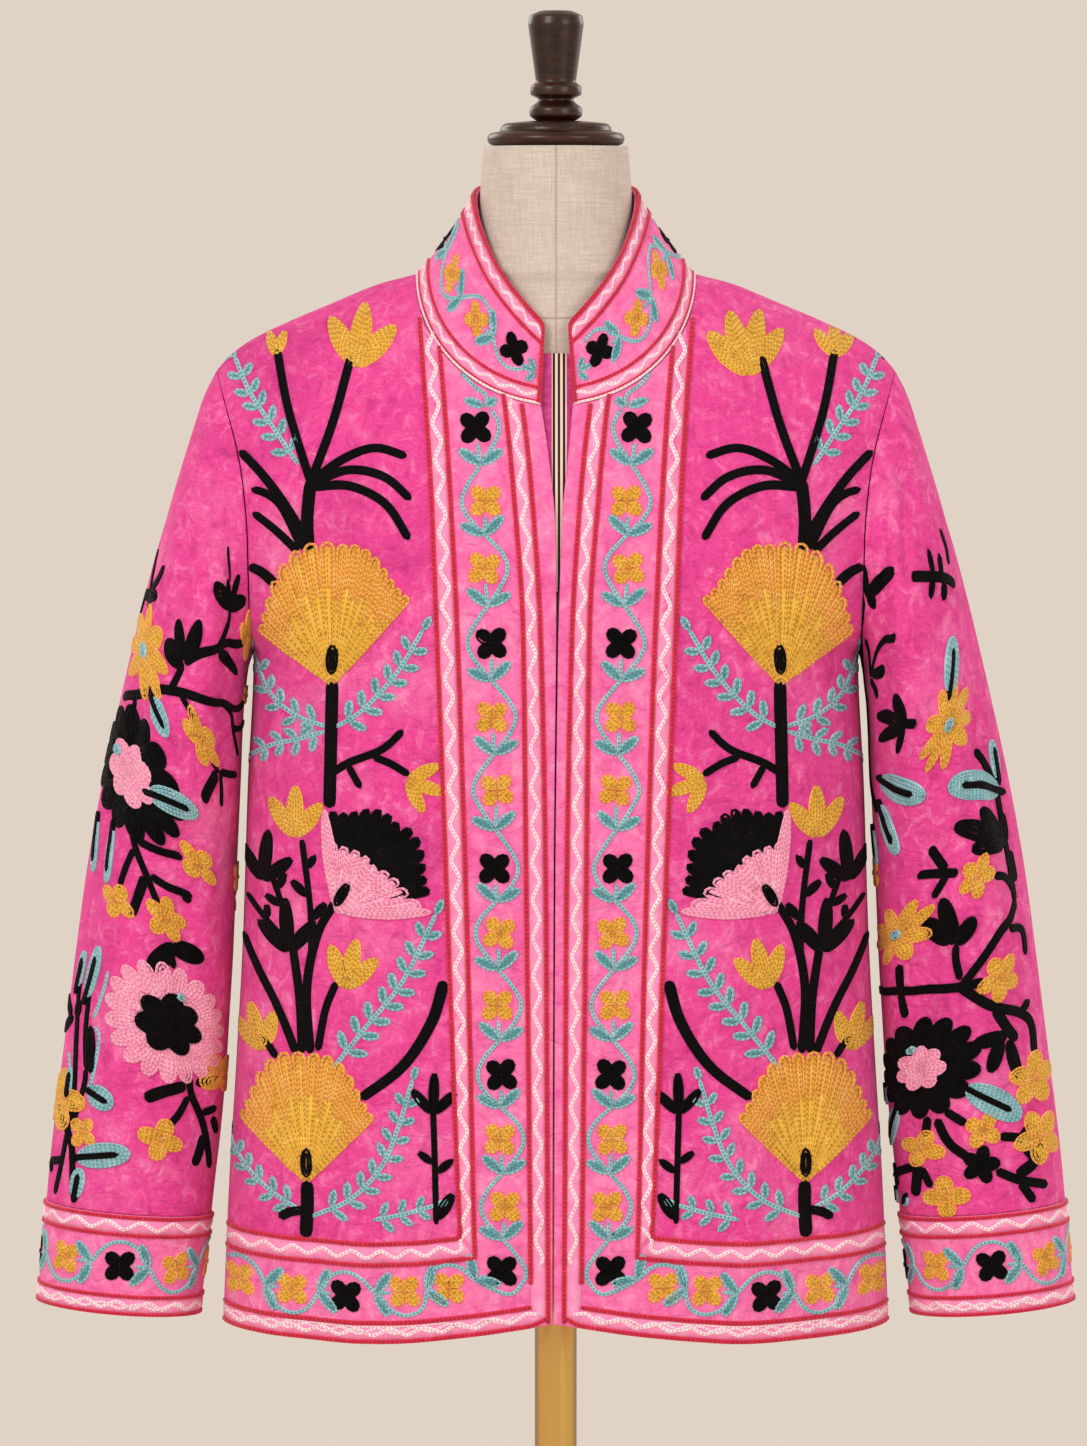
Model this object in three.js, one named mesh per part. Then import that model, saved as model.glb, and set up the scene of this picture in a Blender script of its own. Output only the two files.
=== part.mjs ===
// A velvet suzani jacket, open at the front, on a limbless dress form with a brass pole.
// Millimetres, +Z up. The front faces -Y and the wearer's right is at -X.
// Heights in the jacket's own tables start at its hem, and the whole is lifted by HEM_HEIGHT.

import * as THREE from 'three';

// Driving dimensions
const HEM_HEIGHT = 640;
const WALL = 2;
const SEAM_GAP = 0.3;
const ARMPIT_HEIGHT = 435;
const SHOULDER_TIP = { x: 219, z: 618 };
const NECK_POINT = { x: 90, z: 680 };
const FRONT_NECK_DEPTH = 83;
const BACK_NECK_DEPTH = 10;
const RIDGE_TOP = 700;
const FRONT_FALL = 220;
const BACK_FALL = 200;
const COLLAR_TOP_HALF = 52;
const COLLAR_TOP_FRONT = 62;
const COLLAR_TOP_BACK = 50;
const CUFF_HEIGHT = 66;
const STRIP_HALF_WIDTH = 34;
const STRIP_BOTTOM = 480;
const STRIP_TOP = 630;
const STRIP_WALL = 1.2;
const FORM_BOTTOM = 90;
const SHOULDER_CLEARANCE = 0.8;
const SEAM_SPACE = SEAM_GAP + 0.1;
const POLE_RADIUS = 13.75;
const BASE_RADIUS = 170;
const BASE_HEIGHT = 24;

// How the curves between those dimensions run
const FALL_SHAPE = { front: { swell: 1.8, round: 0.6 }, back: { swell: 2, round: 0.55 } };
const SIDE_ROUNDING = 2.6;
const FOLDS_FADE_UNDER_DEPTH = 60;
const EDGE_DEPTH = SEAM_GAP / 2 + 0.05;
const ROW_CROWDING = 1.5;
const SLEEVE_TAKES_ITS_FORM_BY = 0.35;
const SLEEVE_FOLDS_START = 0.15;
const SLEEVE_FOLDS_END = 0.1;
const CUFF_SPREAD = { top: 1.012, bottom: 0.985 };
const COLLAR_TOP_MIDDLE_Y = -6;
const COLLAR_HOLLOW = 2.5;
const COLLAR_FRONT_TURN = { low: 6, top: 8 };
const STRIP_BEHIND = 0.6;
const STRIP_SLOPE = 0.95;
const STRIP_SET_BACK = { depth: 3.6, from: 580, over: 50 };
const FORM_RING_STEP = 30;
const FORM_SHOULDER = { outerX: 176, innerX: 95, fill: 0.82, lessFill: 0.2 };
const FORM_SHOULDER_SHARES = [0.05, 0.2, 0.4, 0.6, 0.8, 1];
const FORM_NARROWS = { from: 520, over: 80 };
const FORM_SIDE_ROUNDING = 0.25;
const NECK_ROOT_BLEND = 6;

// Body sections from the hem up: half width, and depth of the front and of the back.
// Above the armpit the half width is that of the curve which the armhole cuts short.
const BODY = [
  { z: -10, half: 217.5, front: 121, back: 113 },
  { z: 90, half: 213, front: 119, back: 110 },
  { z: 170, half: 208, front: 117, back: 106 },
  { z: 250, half: 203.5, front: 116, back: 102 },
  { z: 350, half: 200, front: 117, back: 100 },
  { z: 435, half: 196, front: 118, back: 103 },
  { z: 445, half: 203, front: 118, back: 103 },
  { z: 460, half: 211, front: 118, back: 104 },
  { z: 485, half: 221, front: 117, back: 105 },
  { z: 520, half: 232, front: 115, back: 106 },
  { z: 560, half: 243, front: 113, back: 106 },
  { z: 620, half: 252, front: 112, back: 106 },
  { z: 710, half: 256, front: 112, back: 106 },
];

// The shoulder seam, from the neck out
const SHOULDER = [
  { x: 0, z: RIDGE_TOP },
  { x: 60, z: 690 },
  { x: 90, z: 680 },
  { x: 113, z: 674 },
  { x: 145, z: 661 },
  { x: 170, z: 650.5 },
  { x: 196, z: 638 },
  { x: 210, z: 628 },
  { x: 219, z: 618 },
  { x: 230, z: 604 },
];

// The armhole seam, seen from the front
const ARMHOLE = [
  { z: 435, x: 196 },
  { z: 509, x: 197 },
  { z: 545, x: 200 },
  { z: 567, x: 204 },
  { z: 590, x: 210.5 },
  { z: 618, x: 219 },
];

// The front edges: how far each stands from the middle line, and how far that line wanders
const FRONT_EDGE = [
  { z: 0, gap: 0.5, middle: -2 },
  { z: 300, gap: 0.5, middle: -1 },
  { z: 440, gap: 0.6, middle: 0.5 },
  { z: 525, gap: 2.2, middle: 1.5 },
  { z: 560, gap: 5.5, middle: 1.5 },
  { z: 597, gap: 10, middle: 0.5 },
];

// The hem's rise over its lowest place
const HEM = [
  { x: 0, rise: 15 },
  { x: 60, rise: 6 },
  { x: 130, rise: 0 },
  { x: 220, rise: 1 },
];

// Soft folds of the body: middle, lean from upright in degrees, half length, half width, depth
const BODY_FOLDS = [
  { side: 'front', x: -150, z: 90, lean: 6, length: 150, width: 20, depth: 5 },
  { side: 'front', x: -88, z: 60, lean: -4, length: 110, width: 22, depth: -3 },
  { side: 'front', x: 78, z: 270, lean: 38, length: 70, width: 17, depth: 4 },
  { side: 'front', x: 152, z: 110, lean: -5, length: 140, width: 21, depth: 5 },
  { side: 'front', x: -172, z: 380, lean: 24, length: 80, width: 16, depth: 4 },
  { side: 'front', x: 170, z: 375, lean: -26, length: 75, width: 15, depth: 4 },
  { side: 'back', x: -118, z: 120, lean: 5, length: 170, width: 26, depth: 7 },
  { side: 'back', x: -20, z: 90, lean: -3, length: 150, width: 24, depth: 5 },
  { side: 'back', x: 96, z: 130, lean: -6, length: 180, width: 27, depth: 7 },
  { side: 'back', x: 60, z: 420, lean: -30, length: 90, width: 22, depth: 3 },
];

// Sleeve sections: the outer line, the inner line and the half depth, front to back
const SLEEVE = [
  { outerX: 219, outerZ: 618, innerX: 196, innerZ: 435, depth: 57 },
  { outerX: 227, outerZ: 602, innerX: 199.5, innerZ: 424, depth: 62 },
  { outerX: 235, outerZ: 578, innerX: 201, innerZ: 413, depth: 67 },
  { outerX: 245, outerZ: 546, innerX: 202.5, innerZ: 399, depth: 70 },
  { outerX: 256, outerZ: 510, innerX: 203.5, innerZ: 382, depth: 71 },
  { outerX: 268, outerZ: 464, innerX: 204.5, innerZ: 357, depth: 69 },
  { outerX: 281, outerZ: 410, innerX: 206, innerZ: 325, depth: 65 },
  { outerX: 294, outerZ: 352, innerX: 208, innerZ: 285, depth: 60 },
  { outerX: 305, outerZ: 292, innerX: 210, innerZ: 240, depth: 56 },
  { outerX: 312, outerZ: 241, innerX: 212.5, innerZ: 200, depth: 53 },
  { outerX: 318, outerZ: 194, innerX: 215, innerZ: 162, depth: 50 },
  { outerX: 324, outerZ: 148, innerX: 218.5, innerZ: 124, depth: 47 },
  { outerX: 329, outerZ: 108, innerX: 222, innerZ: 94, depth: 45 },
  { outerX: 332, outerZ: 79, innerX: 224.5, innerZ: 70, depth: 43.5 },
];

// Soft folds of a sleeve: place along (0 to 1) and around (degrees from the outer line towards
// the front), lean in degrees for each step along, half length, half width in degrees, depth
const SLEEVE_FOLDS = [
  { along: 0.3, around: 72, lean: 60, length: 0.2, width: 20, depth: 4 },
  { along: 0.56, around: 110, lean: -90, length: 0.14, width: 19, depth: 4 },
  { along: 0.72, around: 40, lean: 80, length: 0.13, width: 20, depth: 3.5 },
  { along: 0.42, around: 268, lean: -70, length: 0.2, width: 22, depth: 4 },
  { along: 0.66, around: 232, lean: 90, length: 0.14, width: 20, depth: 4 },
];

// The collar's top edge: height at each turn from the centre front, in degrees
const COLLAR_TOP = [
  { turn: 8, z: 648 },
  { turn: 26, z: 666 },
  { turn: 47, z: 688 },
  { turn: 69, z: 713 },
  { turn: 90, z: 731 },
  { turn: 130, z: 738 },
  { turn: 180, z: 740 },
];

// The form's rings below the shoulder: half width and its share of the jacket's depth
const FORM_TRUNK = [
  { z: FORM_BOTTOM, half: 150, fill: 0.8 },
  { z: 150, half: 160, fill: 0.86 },
  { z: 220, half: 148, fill: 0.82 },
  { z: 300, half: 128, fill: 0.74 },
  { z: 380, half: 146, fill: 0.82 },
  { z: 450, half: 163, fill: 0.9 },
  { z: 530, half: 172, fill: 0.91 },
  { z: 600, half: 181, fill: 0.84 },
  { z: 630, half: 181, fill: 0.82 },
];

// The form's neck: half width, front and back
const FORM_NECK = [
  { z: 620, half: 62, front: 52, back: 46 },
  { z: 665, half: 62, front: 50, back: 45 },
  { z: 681, half: 61, front: 48.5, back: 44 },
  { z: 688, half: 56, front: 47.5, back: 43 },
  { z: 700, half: 52, front: 46.5, back: 42 },
  { z: 714, half: 49.5, front: 46, back: 41 },
  { z: 738, half: 48.5, front: 45.5, back: 41 },
  { z: 762, half: 46.5, front: 44, back: 40 },
];
const NECK_MIDDLE_Y = -3;

// Turned profiles of the wood: radius and height
const NECK_CAP = [
  { r: 40, z: 0 }, { r: 43.5, z: 1.5 }, { r: 44.5, z: 5 }, { r: 43, z: 8 }, { r: 36, z: 9.5 },
  { r: 35.5, z: 12.5 }, { r: 33, z: 14.5 }, { r: 18, z: 16 },
];
const FINIAL = [
  { r: 13, z: 0 }, { r: 17, z: 3 }, { r: 17, z: 8 }, { r: 12, z: 12 }, { r: 11, z: 14 },
  { r: 16.5, z: 16.5 }, { r: 16.5, z: 22 }, { r: 13, z: 24.5 }, { r: 13.2, z: 27 },
  { r: 18, z: 62 }, { r: 17, z: 67.5 }, { r: 10, z: 70.5 },
];
const BASE = [
  { r: BASE_RADIUS - 4, z: 0 }, { r: BASE_RADIUS, z: 4 }, { r: BASE_RADIUS, z: 11 },
  { r: BASE_RADIUS - 5, z: 16 }, { r: 60, z: 20 }, { r: 24, z: BASE_HEIGHT },
];

// Grid counts
const ROWS_BELOW = 10;
const ROWS_ABOVE = 12;
const TOP_ROW = ROWS_BELOW + ROWS_ABOVE;
const NECK_CORNER_ROW = 5;
const FRONT_COLUMNS = 15;
const BACK_SHOULDER_COLUMNS = 7;
const BACK_NECK_COLUMNS = 10;
const COLLAR_ROWS = 3;
const CUFF_ROWS = 2;
const STRIP_COLUMNS = 6;
const STRIP_ROWS = 7;
const FORM_SIDES = 40;
const TURNED_SIDES = 32;

const degrees = Math.PI / 180;
const mix = (a, b, share) => a + (b - a) * share;
const clamp = (value, low, high) => Math.min(high, Math.max(low, value));

// A smooth curve through a table's rows that never swings past them
function through(rows, along, column) {
  const x = rows.map((row) => row[along]);
  const y = rows.map((row) => row[column]);
  const slopes = x.slice(1).map((next, i) => (y[i + 1] - y[i]) / (next - x[i]));
  const tangents = x.map((_, i) => {
    const before = slopes[Math.max(i - 1, 0)];
    const after = slopes[Math.min(i, slopes.length - 1)];
    return before * after <= 0 ? 0 : (2 * before * after) / (before + after);
  });
  return (value) => {
    const at = clamp(value, x[0], x[x.length - 1]);
    const i = clamp(x.findIndex((next) => next > at) - 1, 0, x.length - 2);
    const last = at === x[x.length - 1] ? x.length - 2 : i;
    const span = x[last + 1] - x[last];
    const t = (at - x[last]) / span;
    const keep = (1 + 2 * t) * (1 - t) ** 2 * y[last] + t * t * (3 - 2 * t) * y[last + 1];
    const bend = t * (1 - t) ** 2 * tangents[last] - t * t * (1 - t) * tangents[last + 1];
    return keep + bend * span;
  };
}

const halfWidth = through(BODY, 'z', 'half');
const frontDepth = through(BODY, 'z', 'front');
const backDepth = through(BODY, 'z', 'back');
const shoulderHeight = through(SHOULDER, 'x', 'z');
const armholeX = through(ARMHOLE, 'z', 'x');
const edgeGap = through(FRONT_EDGE, 'z', 'gap');
const edgeMiddle = through(FRONT_EDGE, 'z', 'middle');
const hemRise = through(HEM, 'x', 'rise');
const collarTopHeight = through(COLLAR_TOP, 'turn', 'z');

// How full the body is at a place: 0 at the shoulder seam, 1 well below it
function fall(x, z, side) {
  const share = side === 'front' ? FRONT_FALL : BACK_FALL;
  const t = clamp((shoulderHeight(Math.abs(x)) - z) / share, 0, 1);
  const { swell, round } = FALL_SHAPE[side];
  return (1 - (1 - t) ** swell) ** round;
}

function foldDepth(x, z, side) {
  return BODY_FOLDS.filter((fold) => fold.side === side).reduce((sum, fold) => {
    const lean = fold.lean * degrees;
    const along = (x - fold.x) * Math.sin(lean) + (z - fold.z) * Math.cos(lean);
    const across = (x - fold.x) * Math.cos(lean) - (z - fold.z) * Math.sin(lean);
    return sum + fold.depth * Math.exp(-((along / fold.length) ** 2) - (across / fold.width) ** 2);
  }, 0);
}

// The body's outer surface: y for a place seen from the front
function bodyDepth(x, z, side) {
  const share = clamp(Math.abs(x) / halfWidth(z), 0, 1);
  const round = Math.sqrt(1 - share ** SIDE_ROUNDING);
  const depth = side === 'front' ? frontDepth(z) : backDepth(z);
  return depth * fall(x, z, side) * round;
}

function bodyPoint(x, z, side) {
  const depth = bodyDepth(x, z, side);
  const fold = foldDepth(x, z, side) * clamp(depth / FOLDS_FADE_UNDER_DEPTH, 0, 1);
  const folded = Math.max(depth - fold, EDGE_DEPTH);
  return new THREE.Vector3(x, side === 'front' ? -folded : folded, z);
}

// The share of the armhole's height at each row above the armpit, closer towards the shoulder
const rise = (row) => 1 - (1 - row / ROWS_ABOVE) ** ROW_CROWDING;
const cornerRise = rise(NECK_CORNER_ROW);

// A side seam and armhole, from the hem up, as { x, z }
const sideRise = HEM[HEM.length - 1].rise;
function outerLine(row) {
  if (row <= ROWS_BELOW) {
    const z = mix(sideRise, ARMPIT_HEIGHT, row / ROWS_BELOW);
    return { x: halfWidth(z), z };
  }
  const z = mix(ARMPIT_HEIGHT, SHOULDER_TIP.z, rise(row - ROWS_BELOW));
  return { x: armholeX(z), z };
}

// The front edge and the neckline, from the hem up; the near side is -1 for the right front
function innerLine(row, nearSide) {
  const neckBottom = NECK_POINT.z - FRONT_NECK_DEPTH;
  const edge = (z) => edgeGap(z) + nearSide * edgeMiddle(z);
  if (row <= ROWS_BELOW) {
    const z = mix(hemRise(0), ARMPIT_HEIGHT, row / ROWS_BELOW);
    return { x: edge(z), z };
  }
  const step = rise(row - ROWS_BELOW);
  if (row <= ROWS_BELOW + NECK_CORNER_ROW) {
    const z = mix(ARMPIT_HEIGHT, neckBottom, step / cornerRise);
    return { x: edge(z), z };
  }
  const startX = edge(neckBottom);
  const turn = mix(Math.asin(startX / NECK_POINT.x), Math.PI / 2, (step - cornerRise) / (1 - cornerRise));
  return { x: NECK_POINT.x * Math.sin(turn), z: NECK_POINT.z - FRONT_NECK_DEPTH * Math.cos(turn) };
}

// A four-sided patch, seen from the front, from its four boundary lines
function patch(rows, columns, left, right, bottom, top) {
  const corner = (v, u) => mix(mix(bottom(0), bottom(1), u), mix(top(0), top(1), u), v);
  return (row, column) => {
    const v = rows(row);
    const u = column / columns;
    return mix(bottom(u), top(u), v) + mix(left(row), right(row), u) - corner(v, u);
  };
}

const rowShare = (row) => {
  const below = ARMPIT_HEIGHT / SHOULDER_TIP.z;
  return row <= ROWS_BELOW ? (below * row) / ROWS_BELOW : mix(below, 1, rise(row - ROWS_BELOW));
};

// A front, wearer's right (nearSide -1) or left (nearSide 1), as a grid of outer points
function frontGrid(nearSide) {
  const inner = (row) => innerLine(row, nearSide);
  const ease = (u) => Math.sin((u * Math.PI) / 2);
  const bottomX = (u) => mix(inner(0).x, outerLine(0).x, ease(u));
  const topX = (u) => mix(NECK_POINT.x, SHOULDER_TIP.x, u);
  const xAt = patch(rowShare, FRONT_COLUMNS, (r) => inner(r).x, (r) => outerLine(r).x, bottomX, topX);
  const zAt = patch(rowShare, FRONT_COLUMNS, (r) => inner(r).z, (r) => outerLine(r).z,
    (u) => hemRise(bottomX(u)), (u) => shoulderHeight(topX(u)));
  const grid = [];
  for (let row = 0; row <= TOP_ROW; row += 1) {
    const line = [];
    for (let column = 0; column <= FRONT_COLUMNS; column += 1) {
      line.push(bodyPoint(nearSide * xAt(row, column), zAt(row, column), 'front'));
    }
    grid.push(nearSide > 0 ? line : line.reverse());
  }
  return grid;
}

// The back's top line, from the wearer's left shoulder tip to the right one
function backTop(u) {
  const columns = 2 * BACK_SHOULDER_COLUMNS + BACK_NECK_COLUMNS;
  const neckShare = BACK_NECK_COLUMNS / columns;
  const fromMiddle = (u - 0.5) / (neckShare / 2);
  if (Math.abs(fromMiddle) <= 1) {
    const turn = (fromMiddle * Math.PI) / 2;
    const x = -NECK_POINT.x * Math.sin(turn);
    return { x, z: NECK_POINT.z - BACK_NECK_DEPTH * Math.cos(turn) };
  }
  const out = (Math.abs(fromMiddle) - 1) / (1 / neckShare - 1);
  const x = mix(NECK_POINT.x, SHOULDER_TIP.x, out);
  return { x: -Math.sign(fromMiddle) * x, z: shoulderHeight(x) };
}

function backGrid() {
  const columns = 2 * BACK_SHOULDER_COLUMNS + BACK_NECK_COLUMNS;
  const bottomX = (u) => outerLine(0).x * Math.sin((0.5 - u) * Math.PI);
  const xAt = patch(rowShare, columns, (r) => outerLine(r).x, (r) => -outerLine(r).x, bottomX,
    (u) => backTop(u).x);
  const zAt = patch(rowShare, columns, (r) => outerLine(r).z, (r) => outerLine(r).z,
    () => sideRise, (u) => backTop(u).z);
  const grid = [];
  for (let row = 0; row <= TOP_ROW; row += 1) {
    const line = [];
    for (let column = 0; column <= columns; column += 1) {
      line.push(bodyPoint(xAt(row, column), zAt(row, column), 'back'));
    }
    grid.push(line);
  }
  return grid;
}

// Outward normals of a grid, from its neighbours; around = true joins the last column to the first
function gridNormals(grid, around = false) {
  const rows = grid.length;
  const columns = grid[0].length;
  return grid.map((line, row) => line.map((_, column) => {
    const before = around ? (column - 1 + columns) % columns : Math.max(column - 1, 0);
    const after = around ? (column + 1) % columns : Math.min(column + 1, columns - 1);
    const across = grid[row][after].clone().sub(grid[row][before]);
    const up = grid[Math.min(row + 1, rows - 1)][column].clone().sub(grid[Math.max(row - 1, 0)][column]);
    return across.cross(up).normalize();
  }));
}

// Walls meet square at the side and shoulder seams
function squareSeams(grid, normals, isSeam) {
  grid.forEach((line, row) => line.forEach((_, column) => {
    if (isSeam(row, column)) {
      normals[row][column].setY(0).normalize();
    }
  }));
}

// A closed wall from its outer points and normals
function wall(grid, normals, thickness, around = false) {
  const rows = grid.length;
  const columns = grid[0].length;
  const positions = [];
  grid.forEach((line) => line.forEach((point) => positions.push(point.x, point.y, point.z)));
  grid.forEach((line, row) => line.forEach((point, column) => {
    const inside = point.clone().addScaledVector(normals[row][column], -thickness);
    positions.push(inside.x, inside.y, inside.z);
  }));
  const outer = (row, column) => row * columns + (column % columns);
  const inner = (row, column) => rows * columns + outer(row, column);
  const faces = [];
  const quad = (a, b, c, d) => faces.push(a, b, c, a, c, d);
  const lastColumn = around ? columns : columns - 1;
  for (let row = 0; row < rows - 1; row += 1) {
    for (let column = 0; column < lastColumn; column += 1) {
      quad(outer(row, column), outer(row, column + 1), outer(row + 1, column + 1), outer(row + 1, column));
      quad(inner(row, column), inner(row + 1, column), inner(row + 1, column + 1), inner(row, column + 1));
    }
    if (!around) {
      const last = columns - 1;
      quad(outer(row, 0), outer(row + 1, 0), inner(row + 1, 0), inner(row, 0));
      quad(outer(row, last), inner(row, last), inner(row + 1, last), outer(row + 1, last));
    }
  }
  for (let column = 0; column < lastColumn; column += 1) {
    const top = rows - 1;
    quad(outer(0, column), inner(0, column), inner(0, column + 1), outer(0, column + 1));
    quad(outer(top, column), outer(top, column + 1), inner(top, column + 1), inner(top, column));
  }
  return solid(positions, faces);
}

function solid(positions, faces) {
  const geometry = new THREE.BufferGeometry();
  geometry.setAttribute('position', new THREE.Float32BufferAttribute(positions, 3));
  geometry.setIndex(faces);
  geometry.computeVertexNormals();
  return geometry;
}

// A place on a panel's edge: its point, its wall normal and its neighbour inside the panel
const edgePlace = (grid, normals, row, column, insideRow, insideColumn) => ({
  point: grid[row][column].clone(),
  normal: normals[row][column].clone(),
  inside: grid[insideRow][insideColumn].clone(),
});

const meanPlace = (a, b) => ({
  point: a.point.clone().add(b.point).multiplyScalar(0.5),
  normal: a.normal.clone().add(b.normal).normalize(),
  inside: a.inside.clone().add(b.inside).multiplyScalar(0.5),
});

// Each place gets the way across the seam, square to the edge and in the wall's own plane
function seamFrames(places, isRing) {
  const count = places.length;
  return places.map((place, i) => {
    const before = isRing ? places[(i - 1 + count) % count] : places[Math.max(i - 1, 0)];
    const after = isRing ? places[(i + 1) % count] : places[Math.min(i + 1, count - 1)];
    const across = after.point.clone().sub(before.point).cross(place.normal).normalize();
    if (across.dot(place.point.clone().sub(place.inside)) < 0) {
      across.negate();
    }
    return { ...place, across };
  });
}

// Where the next piece bends outwards over a seam, its wall keeps the panel's normal there
function seamNormals(normals, frames) {
  frames.forEach((frame, i) => {
    if (normals[0][i].dot(frame.across) > 0) {
      normals[0][i].copy(frame.normal);
    }
  });
}

// The jacket's panels
const fronts = { right: frontGrid(-1), left: frontGrid(1) };
const back = backGrid();
const frontNormals = { right: gridNormals(fronts.right), left: gridNormals(fronts.left) };
const backNormals = gridNormals(back);
const backColumns = back[0].length - 1;
const sideColumn = { right: 0, left: FRONT_COLUMNS };
const edgeColumn = { right: FRONT_COLUMNS, left: 0 };

for (const side of ['right', 'left']) {
  squareSeams(fronts[side], frontNormals[side],
    (row, column) => row === TOP_ROW || (column === sideColumn[side] && row <= ROWS_BELOW));
}
squareSeams(back, backNormals, (row, column) => {
  const onShoulder = column <= BACK_SHOULDER_COLUMNS || column >= backColumns - BACK_SHOULDER_COLUMNS;
  const onSide = column === 0 || column === backColumns;
  return (row === TOP_ROW && onShoulder) || (onSide && row <= ROWS_BELOW);
});

// The armhole as a ring of seam frames: shoulder tip, down the front, armpit, up the back
function armholeFrames(side) {
  const column = sideColumn[side];
  const inward = side === 'right' ? 1 : -1;
  const backColumn = side === 'right' ? backColumns : 0;
  const front = (row, inside = column + inward) => edgePlace(
    fronts[side], frontNormals[side], row, column, row, inside);
  const rear = (row) => edgePlace(back, backNormals, row, backColumn, row, backColumn - inward);
  const ring = [meanPlace(front(TOP_ROW), rear(TOP_ROW))];
  for (let row = TOP_ROW - 1; row > ROWS_BELOW; row -= 1) {
    ring.push(front(row));
  }
  const armpit = meanPlace(front(ROWS_BELOW), rear(ROWS_BELOW));
  armpit.inside = fronts[side][ROWS_BELOW - 1][column].clone();
  ring.push(armpit);
  for (let row = ROWS_BELOW + 1; row < TOP_ROW; row += 1) {
    ring.push(rear(row));
  }
  return seamFrames(ring, true);
}

// A sleeve ring's point at a turn from the outer line towards the front
function sleevePoint(section, turn, outward) {
  const middleX = (section.outerX + section.innerX) / 2;
  const middleZ = (section.outerZ + section.innerZ) / 2;
  const reach = Math.cos(turn);
  return new THREE.Vector3(
    outward * (middleX + (reach * (section.outerX - section.innerX)) / 2),
    -section.depth * Math.sin(turn),
    middleZ + (reach * (section.outerZ - section.innerZ)) / 2,
  );
}

function sleeveFold(along, turn) {
  return SLEEVE_FOLDS.reduce((sum, fold) => {
    const step = along - fold.along;
    const middle = fold.around + fold.lean * step;
    const apart = ((turn / degrees - middle + 540) % 360) - 180;
    return sum + fold.depth * Math.exp(-((step / fold.length) ** 2) - (apart / fold.width) ** 2);
  }, 0);
}

// The turn of an armhole place, measured as the sleeve's first section measures it
function armholeTurn(point, outward) {
  const first = SLEEVE[0];
  const axis = { x: first.outerX - first.innerX, z: first.outerZ - first.innerZ };
  const x = outward * point.x - (first.outerX + first.innerX) / 2;
  const z = point.z - (first.outerZ + first.innerZ) / 2;
  const reach = (2 * (x * axis.x + z * axis.z)) / (axis.x ** 2 + axis.z ** 2);
  return Math.atan2(-point.y / first.depth, reach);
}

// A sleeve's outer points, ring by ring down to the cuff, with the frames of its armhole seam
function sleeveGrid(side) {
  const outward = side === 'right' ? -1 : 1;
  const ring = armholeFrames(side);
  const frames = side === 'right' ? ring.reverse() : ring;
  const turns = frames.map((frame) => armholeTurn(frame.point, outward));
  const grid = SLEEVE.map((section, row) => {
    const along = row / (SLEEVE.length - 1);
    const keep = clamp(1 - along / SLEEVE_TAKES_ITS_FORM_BY, 0, 1) ** 2;
    const fade = clamp(along / SLEEVE_FOLDS_START, 0, 1) * clamp((1 - along) / SLEEVE_FOLDS_END, 0, 1);
    return turns.map((turn, i) => {
      const seam = frames[i].point.clone().addScaledVector(frames[i].across, SEAM_SPACE)
        .sub(sleevePoint(SLEEVE[0], turn, outward));
      const point = sleevePoint(section, turn, outward).addScaledVector(seam, keep);
      const opposite = sleevePoint(section, turn + Math.PI, outward);
      const inward = opposite.sub(sleevePoint(section, turn, outward)).normalize();
      return point.addScaledVector(inward, sleeveFold(along, turn) * fade);
    });
  });
  return { grid, frames };
}

function sleeve(side) {
  const { grid, frames } = sleeveGrid(side);
  const normals = gridNormals(grid, true);
  seamNormals(normals, frames);
  return { grid, normals };
}

// The cuff carries on from the sleeve's last ring
function cuffGrid(sleeveRings) {
  const last = sleeveRings[sleeveRings.length - 1];
  const before = sleeveRings[sleeveRings.length - 2];
  const middle = last.reduce((sum, point) => sum.add(point), new THREE.Vector3()).divideScalar(last.length);
  const middleBefore = before.reduce((sum, point) => sum.add(point), new THREE.Vector3())
    .divideScalar(last.length);
  const along = middle.clone().sub(middleBefore).normalize();
  const rings = [];
  for (let row = 0; row <= CUFF_ROWS; row += 1) {
    const share = row / CUFF_ROWS;
    rings.push(last.map((point) => {
      const from = point.clone().sub(middle);
      return middle.clone().addScaledVector(from, mix(CUFF_SPREAD.top, CUFF_SPREAD.bottom, share))
        .addScaledVector(along, SEAM_SPACE + CUFF_HEIGHT * share);
    }));
  }
  return rings;
}

// The neckline as seam frames, from the left front edge round the back to the right one
function necklineFrames() {
  const cornerRow = ROWS_BELOW + NECK_CORNER_ROW;
  const rightBack = backColumns - BACK_SHOULDER_COLUMNS;
  const frontPlace = (side, row) => {
    const column = edgeColumn[side];
    const inward = side === 'right' ? -1 : 1;
    return edgePlace(fronts[side], frontNormals[side], row, column, row - 1, column + inward);
  };
  const backPlace = (column) => edgePlace(back, backNormals, TOP_ROW, column, TOP_ROW - 1, column);
  const places = [];
  for (let row = cornerRow; row < TOP_ROW; row += 1) {
    places.push(frontPlace('left', row));
  }
  places.push(meanPlace(frontPlace('left', TOP_ROW), backPlace(BACK_SHOULDER_COLUMNS)));
  for (let column = BACK_SHOULDER_COLUMNS + 1; column < rightBack; column += 1) {
    places.push(backPlace(column));
  }
  places.push(meanPlace(frontPlace('right', TOP_ROW), backPlace(rightBack)));
  for (let row = TOP_ROW - 1; row >= cornerRow; row -= 1) {
    places.push(frontPlace('right', row));
  }
  return seamFrames(places, false);
}

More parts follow.
